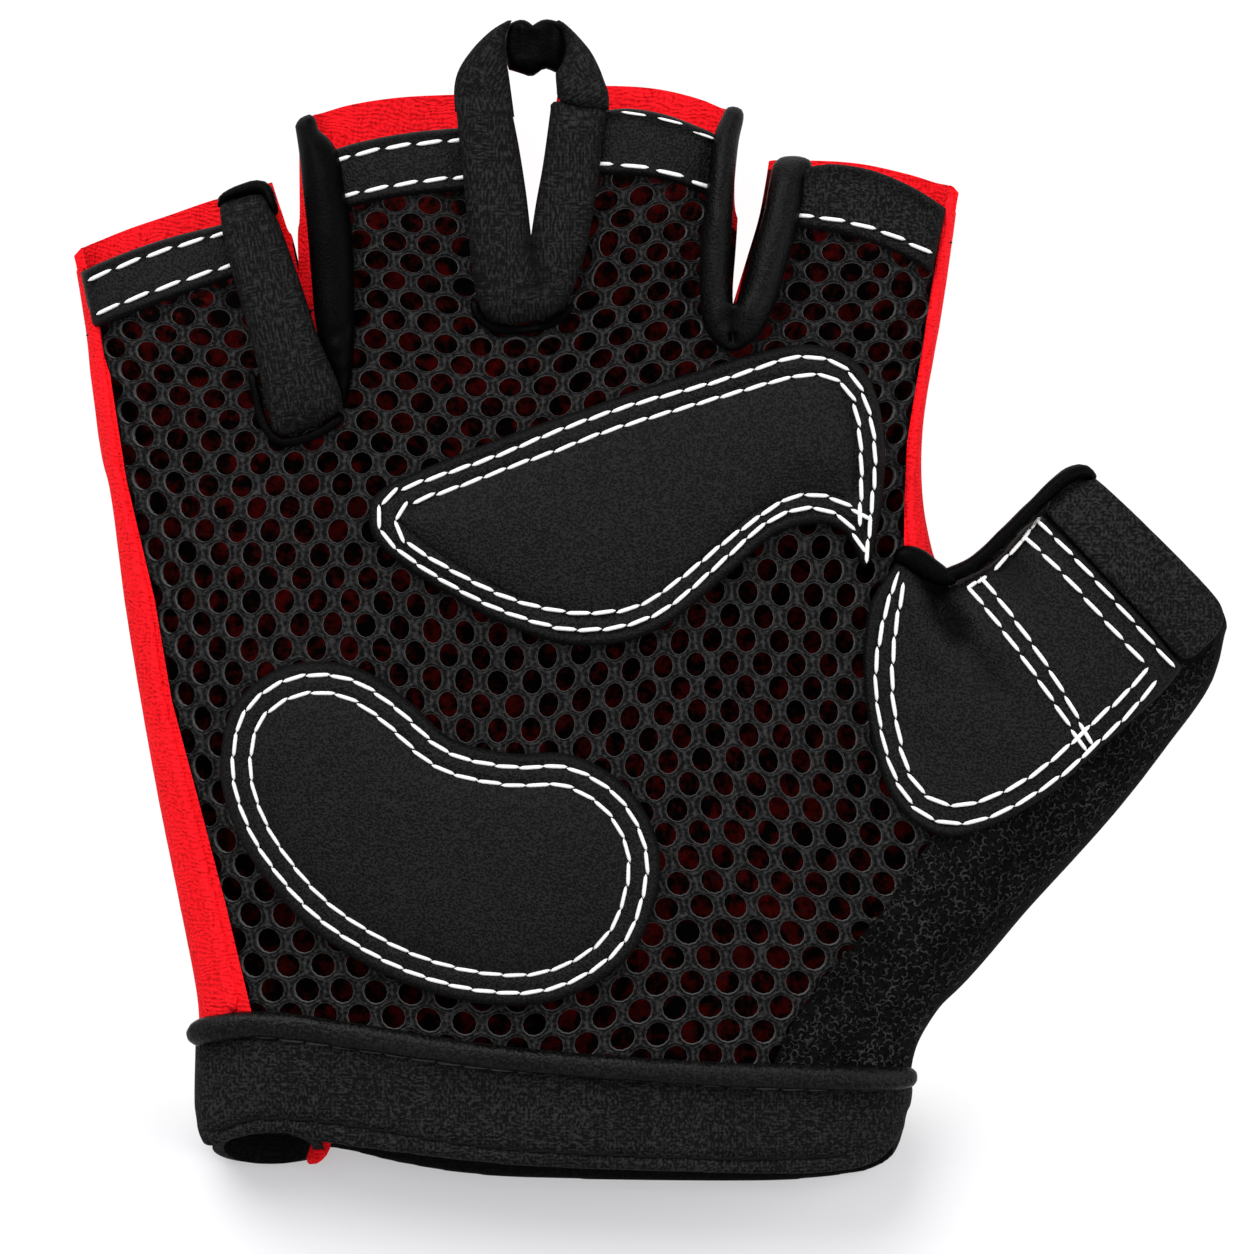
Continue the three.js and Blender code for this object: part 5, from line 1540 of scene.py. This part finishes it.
def shapeCuff():
    # pressed seam and slack ripples on the palm layer
    mesh = wristCuff.data
    co = readMesh(wristCuff)[0]
    face = co[:, 2] > splitZ + 0.002
    picked = co[face, :2]
    best = np.full(len(picked), 1.0)
    for a, b in zip(hemSeam[:-1:3], hemSeam[3::3]):
        run = b - a
        t = np.clip(((picked - a) @ run) / (run @ run), 0, 1)
        best = np.minimum(best, np.linalg.norm(picked - a - t[:, None] * run, axis=1))
    away = np.full(len(co), 1.0)
    away[face] = best
    co[:, 2] -= np.exp(-(away / 0.0005) ** 2) * 0.00055
    co[:, 2] += face * ripple(co[:, :2], 0.02, 31, 0.2) * 0.0005
    co[:, 2] = np.maximum(co[:, 2], 0.0)
    mesh.vertices.foreach_set("co", co.ravel())
    mesh.update()


shapeCuff()
smoothFaces(wristCuff)


def paintInsideShade():
    # painted shade: faces of the hollow and of the rear layer that shows below the hem take the darker knit
    slots = []
    for face in wristCuff.data.polygons:
        spot, normal, _, away = surface.tree.find_nearest(face.center)
        inward = away > 0.0006 and (face.center - spot).dot(face.normal) > 0
        slots.append(1 if inward and normal.dot(face.center - spot) < -0.0006 else 0)
    wear(wristCuff, "knit", "shadedInnerKnit")
    wristCuff.data.polygons.foreach_set("material_index", slots)


paintInsideShade()
finishPiece(wristCuff, ["wrist_cuff"])

cuffPipingRows = [
    (-0.3925, -0.3764, 0.58, 0.0173, 0.0034), (-0.3865, -0.3695, 0.66, 0.0225, 0.0036),
    (-0.37, -0.3652, 0.74, 0.0225, 0.0036), (-0.344, -0.3618, 0.79, 0.0225, 0.0036),
    (-0.3076, -0.3635, 0.83, 0.0225, 0.0036), (-0.2426, -0.373, 0.86, 0.0225, 0.0036),
    (-0.1568, -0.3858, 0.88, 0.0208, 0.0036), (-0.0771, -0.3944, 0.89, 0.0208, 0.0036),
    (0.0442, -0.403, 0.88, 0.0208, 0.0036), (0.1308, -0.4064, 0.86, 0.0208, 0.0036),
    (0.1828, -0.4082, 0.82, 0.0208, 0.0036), (0.2158, -0.4082, 0.72, 0.0191, 0.0034),
    (0.227, -0.4082, 0.62, 0.0156, 0.0032),
]
cuffPiping = sweepBar("cuff piping", cuffPipingRows, "piping", seed=15, wrinkles=0.0001)
finishPiece(cuffPiping, ["cuff_piping"])

fold = {"half": 0.0074, "height": 0.0098, "low": 0.0016, "wall": 0.0013, "mouth": 0.0025, "flare": 0.0005}
foldTop, foldMouth = toPlan([(-0.3406, -0.4279), (-0.3319, -0.4742)])


def curledFold():
    # flattened tube along Y with a slanting mouth, so the opening shows as an oval
    sides, steps = 80, 26
    verts, faces = [], []
    for shell in (0, 1):
        for step in range(steps + 1):
            share = step / steps
            x = foldTop[0] + (foldMouth[0] - foldTop[0]) * share
            flare = smoothStep(np.array((share - 0.75) / 0.25)) * fold["flare"]
            for side in range(sides):
                turn = side / sides * 2 * math.pi
                end = foldMouth[1] + fold["mouth"] * math.sin(turn)
                inner = fold["wall"] * shell
                rx = fold["half"] - inner + flare * (0.4 + 0.6 * (shell == 0))
                rz = fold["height"] / 2 - inner + flare * 0.5
                px = x + rx * powered(np.cos(turn), 0.85)
                pz = fold["low"] + fold["height"] / 2 + rz * powered(np.sin(turn), 0.9)
                verts.append((px, foldTop[1] + (end - foldTop[1]) * share, pz))
    ring = sides * (steps + 1)
    for shell in (0, 1):
        for step in range(steps):
            for side in range(sides):
                a = shell * ring + step * sides + side
                b = shell * ring + step * sides + (side + 1) % sides
                quad = (a, b, b + sides, a + sides)
                faces.append(quad if shell == 0 else tuple(reversed(quad)))
    for step in (0, steps):
        for side in range(sides):
            a, b = step * sides + side, step * sides + (side + 1) % sides
            faces.append((a, a + ring, b + ring, b) if step == 0 else (b, b + ring, a + ring, a))
    made = makeObject("cuff fold", verts, faces)
    faceOut(made)
    # the inner shell wears the darker knit as painted shade
    wear(made, "knit", "shadedInnerKnit")
    slots = [1 if sides * steps <= i < 2 * sides * steps else 0 for i in range(len(faces))]
    made.data.polygons.foreach_set("material_index", slots)
    return made


cuffFold = curledFold()
finishPiece(cuffFold, ["cuff_fold"])
tipRows = [
    (-0.2868, -0.4348, 0.22, 0.0121, 0.0016), (-0.2851, -0.4554, 0.24, 0.0156, 0.0020),
    (-0.286, -0.47, 0.24, 0.0165, 0.0020), (-0.2903, -0.4794, 0.24, 0.0147, 0.0018),
    (-0.2972, -0.4871, 0.22, 0.0095, 0.0014),
]
closureTip = sweepBar("closure tip", tipRows, "red", capReach=0.0012)
finishPiece(closureTip, ["closure_tip"])
print("cuff and thumb")

# rolled seams along the two red sides; columns: x, y, width share
roll = {"height": 0.012, "thick": 0.0014, "wrinkles": 0.00006}
sideSeams = {
    "left": [
        (-0.4827, 0.2588, 0.0078), (-0.4723, 0.1953, 0.0078), (-0.4575, 0.1043, 0.0078),
        (-0.4341, 0.0013, 0.0087), (-0.4211, -0.0845, 0.0095), (-0.3986, -0.1704, 0.0104),
        (-0.3778, -0.2562, 0.0113), (-0.3579, -0.3506, 0.0113),
    ],
    "right": [
        (0.2608, 0.3481, 0.0078), (0.2504, 0.2828, 0.0078), (0.2426, 0.233, 0.0078),
        (0.2331, 0.173, 0.0078), (0.2262, 0.1215, 0.0078), (0.2253, 0.0742, 0.0078),
        (0.2279, 0.0391, 0.0078),
    ],
}
rolls = []
for side, line in sideSeams.items():
    rows = [(x, y, roll["height"], width, roll["thick"]) for x, y, width in line]
    rolls.append(sweepBar(f"{side} side roll", rows, "red", drape=True, seed=17, wrinkles=roll["wrinkles"]))
sideRolls = joinParts(rolls, "side seam rolls")
finishPiece(sideRolls, [])

# terry loops
terry = {"Gap": 0.00062, "Radius": 0.00048, "Thread": 0.00016}


def loopTree():
    tree, start, end = newTree("terry loops", terry)
    spread = addNode(tree, "GeometryNodeDistributePointsOnFaces", {"distribute_method": "POISSON"},
                     Mesh=start.outputs["Geometry"], Distance_Min=start.outputs["Gap"],
                     Density_Max=3.0e6, Seed=3)
    arc = addNode(tree, "GeometryNodeCurveArc", {"mode": "RADIUS"}, Resolution=7,
                  Radius=start.outputs["Radius"], Start_Angle=0.2, Sweep_Angle=2.7)
    ring = addNode(tree, "GeometryNodeCurvePrimitiveCircle", Resolution=3, Radius=start.outputs["Thread"])
    body = addNode(tree, "GeometryNodeCurveToMesh", Curve=arc.outputs[0], Profile_Curve=ring.outputs["Curve"],
                   Fill_Caps=True)
    spin = addNode(tree, "FunctionNodeRandomValue", {"data_type": "FLOAT_VECTOR"}, i0=(-0.3, -0.3, 0.0),
                   i1=(0.3, 0.3, 6.28), Seed=5)
    size = addNode(tree, "FunctionNodeRandomValue", {"data_type": "FLOAT"}, i2=0.7, i3=1.25, Seed=9)
    tilt = addNode(tree, "FunctionNodeRotateRotation", {"rotation_space": "LOCAL"},
                   Rotation=spread.outputs["Rotation"], Rotate_By=spin.outputs[0])
    many = addNode(tree, "GeometryNodeInstanceOnPoints", Points=spread.outputs["Points"],
                   Instance=body.outputs[0], Rotation=tilt.outputs[0], Scale=size.outputs[1])
    return endTree(tree, start, end, many.outputs[0])


def terryField():
    # the outer face of the terry that shows beside the thumb patch
    covers = [grown(smoothLoop(thumbPatchRows, 0.002), -0.0008), grown(toPlan(cuffBelow), 0.0009),
              grown(smoothLoop(thumbBandRows, 0.002), 0.0012)]
    work = bmesh.new()
    work.from_mesh(terryPanel.data)
    faces = list(work.faces)
    spots = np.array([face.calc_center_median() for face in faces])
    under = np.any([insideLoop(spots[:, :2], cover) for cover in covers], axis=0)
    gone = []
    for face, spot, covered in zip(faces, spots, under):
        away = surface.tree.find_nearest(Vector(spot))[3]
        if covered or away > 0.0004 or face.normal.z < 0.5:
            gone.append(face)
    bmesh.ops.delete(work, geom=gone, context="FACES")
    field = copyOf(terryPanel, "terry loops")
    work.to_mesh(field.data)
    work.free()
    return field


terryLoops = growWith(terryField(), loopTree(), {**terry, "Finish": finishes["terryLoopHighlight"]})
wear(terryLoops, "terryLoopHighlight")
finishPiece(terryLoops, [])
print("terry loops", len(terryLoops.data.polygons))

# seams
ground = Surface([form, thumbPatch, wristCuff, *bandPieces.values(), *[piece for piece, _, _ in padPieces]])


def insetRun(loop, inset):
    ring = grown(loop, -inset)
    far = edgeDistance(ring, loop)
    ring = ring[(far > inset * 0.96) & insideLoop(ring, loop)]
    return resample(ring, 0.0012, True)


def openRun(rows):
    return roundCurve(toPlan(rows), False)


upperRows = [
    [
        (0.1854, 0.0324), (0.1885, 0.0577), (0.1915, 0.088), (0.1936, 0.1132), (0.192, 0.1436),
        (0.1859, 0.1688), (0.1767, 0.1881), (0.165, 0.2002), (0.1461, 0.2068), (0.1256, 0.2078),
        (0.1053, 0.2027), (0.0645, 0.1891), (0.0287, 0.179), (-0.0121, 0.1678), (-0.0478, 0.1562),
        (-0.0886, 0.141), (-0.1244, 0.1259), (-0.1601, 0.1132), (-0.1856, 0.1046), (-0.2112, 0.0955),
        (-0.2239, 0.088), (-0.2305, 0.0779), (-0.2301, 0.0652), (-0.2213, 0.05), (-0.1958, 0.0299),
        (-0.1653, 0.0112), (-0.1346, -0.0045), (-0.104, -0.0156), (-0.0734, -0.0233), (-0.0427, -0.0238),
        (-0.0172, -0.0197), (0.0083, -0.0096), (0.0287, 0.0045), (0.0491, 0.0222), (0.0746, 0.045),
        (0.0951, 0.0627), (0.1154, 0.0743), (0.1359, 0.0789), (0.1563, 0.0754), (0.1691, 0.0668),
        (0.1782, 0.0536), (0.1834, 0.0395),
    ],
    [
        (0.1798, 0.0637), (0.1818, 0.0981), (0.1808, 0.1335), (0.1777, 0.1587), (0.1716, 0.1765),
        (0.1614, 0.1876), (0.1461, 0.1921), (0.1256, 0.1916), (0.1053, 0.1865), (0.0645, 0.1749),
        (0.0338, 0.1658), (-0.0121, 0.1522), (-0.0478, 0.1405), (-0.0784, 0.1284), (-0.1142, 0.1158),
        (-0.1448, 0.1041), (-0.1754, 0.093), (-0.1984, 0.0854), (-0.2112, 0.0779), (-0.2163, 0.0703),
        (-0.2153, 0.0617), (-0.2035, 0.0476), (-0.1754, 0.0299), (-0.1448, 0.0136), (-0.1142, 0.0005),
        (-0.0835, -0.007), (-0.0581, -0.0101), (-0.0275, -0.0081), (-0.007, -0.003), (0.0134, 0.0096),
        (0.0338, 0.0248), (0.0491, 0.0374), (0.0695, 0.0541), (0.0899, 0.0688), (0.1104, 0.0829),
        (0.1256, 0.089), (0.141, 0.0905), (0.1614, 0.0854), (0.1767, 0.0779), (0.1899, 0.0668),
    ],
]
for piece, loop, label in padPieces:
    upper = label.startswith("upper")
    if upper:
        runs = [openRun(rows) for rows in upperRows]
    else:
        runs = [insetRun(loop, inset) for inset in padRows[label]]
    stitch(f"{piece.name} stitches", runs, ground, closed=not upper, pitch=0.0034, length=0.00345)

bandSeams = [
    [(-0.4844, 0.276), (-0.4584, 0.2863), (-0.4168, 0.3009), (-0.37, 0.3146), (-0.3562, 0.3189)],
    [(-0.4766, 0.2468), (-0.4497, 0.2571), (-0.4064, 0.2725), (-0.3622, 0.2871), (-0.3492, 0.2914)],
    [
        (-0.2764, 0.3755), (-0.2669, 0.3781), (-0.24, 0.385), (-0.2097, 0.3901), (-0.1672, 0.3944),
        (-0.1516, 0.3961),
    ],
    [
        (-0.2695, 0.3455), (-0.2608, 0.3472), (-0.227, 0.3541), (-0.1941, 0.3592), (-0.162, 0.3627),
        (-0.1482, 0.3635),
    ],
    [
        (-0.0546, 0.3738), (-0.0399, 0.3738), (-0.0043, 0.3704), (0.0286, 0.3627), (0.0494, 0.3549),
        (0.0563, 0.3524),
    ],
    [(0.1205, 0.33), (0.1308, 0.33), (0.1612, 0.3258), (0.1941, 0.318), (0.2279, 0.3052), (0.2426, 0.2966)],
]
stitch("finger band stitches", [openRun(rows) for rows in bandSeams], ground)
edgeSeam = [(-0.0234, 0.4176), (-0.0078, 0.4159), (0.0173, 0.4107), (0.0355, 0.4039), (0.0555, 0.3953)]
stitch("band edge stitches", [openRun(edgeSeam)], ground, thread=0.00015, lift=0.0)
thumbSeams = [
    [
        (0.2184, 0.0253), (0.208, 0.0116), (0.2019, -0.0142), (0.1958, -0.0408), (0.1941, -0.0742),
        (0.1976, -0.1034), (0.2036, -0.1309), (0.2114, -0.1506), (0.2253, -0.173), (0.2444, -0.1858),
        (0.2652, -0.1884), (0.286, -0.185), (0.3172, -0.1712), (0.3536, -0.1472), (0.3804, -0.1232),
        (0.4081, -0.0983), (0.435, -0.0682),
    ],
    [
        (0.2218, 0.0142), (0.2166, 0.0047), (0.2123, -0.0176), (0.2088, -0.0519), (0.2088, -0.0811),
        (0.2123, -0.1034), (0.2175, -0.1309), (0.2218, -0.1421), (0.2322, -0.1601), (0.2496, -0.1712),
        (0.2678, -0.173), (0.299, -0.1635), (0.331, -0.1455), (0.3622, -0.1197), (0.3917, -0.0923),
        (0.4125, -0.0742), (0.4263, -0.0562),
    ],
    [(0.3345, 0.0691), (0.3536, 0.0485), (0.3917, 0.0073), (0.4263, -0.0305), (0.4497, -0.0562)],
    [(0.3224, 0.0562), (0.3388, 0.0391), (0.3596, 0.0176), (0.3917, -0.0185), (0.4229, -0.0519)],
    [
        (0.2738, 0.0124), (0.2946, -0.0142), (0.3241, -0.0545), (0.3466, -0.0871), (0.364, -0.1129),
        (0.3735, -0.1275),
    ],
    [
        (0.2851, 0.021), (0.3102, -0.0124), (0.338, -0.0519), (0.3605, -0.0888), (0.3718, -0.1094),
        (0.3787, -0.1223),
    ],
]
stitch("thumb patch stitches", [openRun(rows) for rows in thumbSeams], ground)
shortSeams = [
    [(0.3371, 0.0717), (0.3198, 0.0511)], [(0.3224, 0.0528), (0.2964, 0.027)],
    [(0.2903, 0.021), (0.273, 0.0116)],
]
stitch("thumb edge stitches", [openRun(rows) for rows in shortSeams], ground, pitch=0.0026, length=0.0027)
cuffSeam = [
    (-0.3813, -0.379), (-0.37, -0.3747), (-0.344, -0.3712), (-0.3076, -0.3747), (-0.2426, -0.3833),
    (-0.1568, -0.3961), (-0.0771, -0.403), (0.0962, -0.415), (0.2218, -0.4176),
]
stitch("cuff stitches", [openRun(cuffSeam)], ground, finish="dark", thread=0.0003)
stitch("hem stitches", [hemSeam[14:-20]], ground, finish="black", thread=0.00016)
print("stitches")
drop(form)
drop(shell)

# camera, light and floor
photo = {
    "width": 0.17604, "middleX": -0.00386, "middleY": -0.00329, "height": 0.012, "lens": 170.0,
    "sensor": 36.0,
}


def setCamera():
    data = bpy.data.cameras.new("camera")
    data.lens = photo["lens"]
    data.sensor_width = photo["sensor"]
    data.clip_end = 20.0
    away = photo["width"] * photo["lens"] / photo["sensor"]
    camera = linkUp("camera", data)
    camera.location = (photo["middleX"], photo["middleY"], photo["height"] + away)
    bpy.context.scene.camera = camera


def areaLight(name, place, size, power):
    data = bpy.data.lights.new(name, "AREA")
    data.shape = "DISK"
    data.size = size
    data.energy = power
    lamp = linkUp(name, data)
    lamp.location = place
    lamp.rotation_euler = Vector(place).to_track_quat("Z", "Y").to_euler()


def setStage():
    world = bpy.data.worlds.new("studio")
    bpy.context.scene.world = world
    world.use_nodes = True
    sky = world.node_tree.nodes["Background"]
    sky.inputs["Color"].default_value = (1, 1, 1, 1)
    sky.inputs["Strength"].default_value = 0.6
    areaLight("key", (-0.35, 0.75, 0.75), 0.9, 12.0)
    areaLight("side", (0.7, 0.1, 0.6), 0.9, 4.0)
    corners = [(-3, -3, 0), (3, -3, 0), (3, 3, 0), (-3, 3, 0)]
    floor = makeObject("floor", corners, [(0, 1, 2, 3)], smooth=False)
    book = Book("glowing pale floor")
    # glows white almost everywhere, a painted light that washes out shadows and bounced red; near the cuff it
    # glows less and takes the cast shadow
    near = book.ramp(book.split(book.place(), 1), -0.080, -0.066)
    book.set(Base_Color=book.mixColour(near, grey(0.74), grey(0.05)), Roughness=0.9,
             Emission_Color=book.mixColour(near, (0.16, 0.16, 0.16, 1), (0.97, 0.97, 0.97, 1)),
             Emission_Strength=1.0)
    floor.data.materials.append(book.material)
    bpy.context.scene.view_settings.view_transform = "Standard"


setCamera()
setStage()
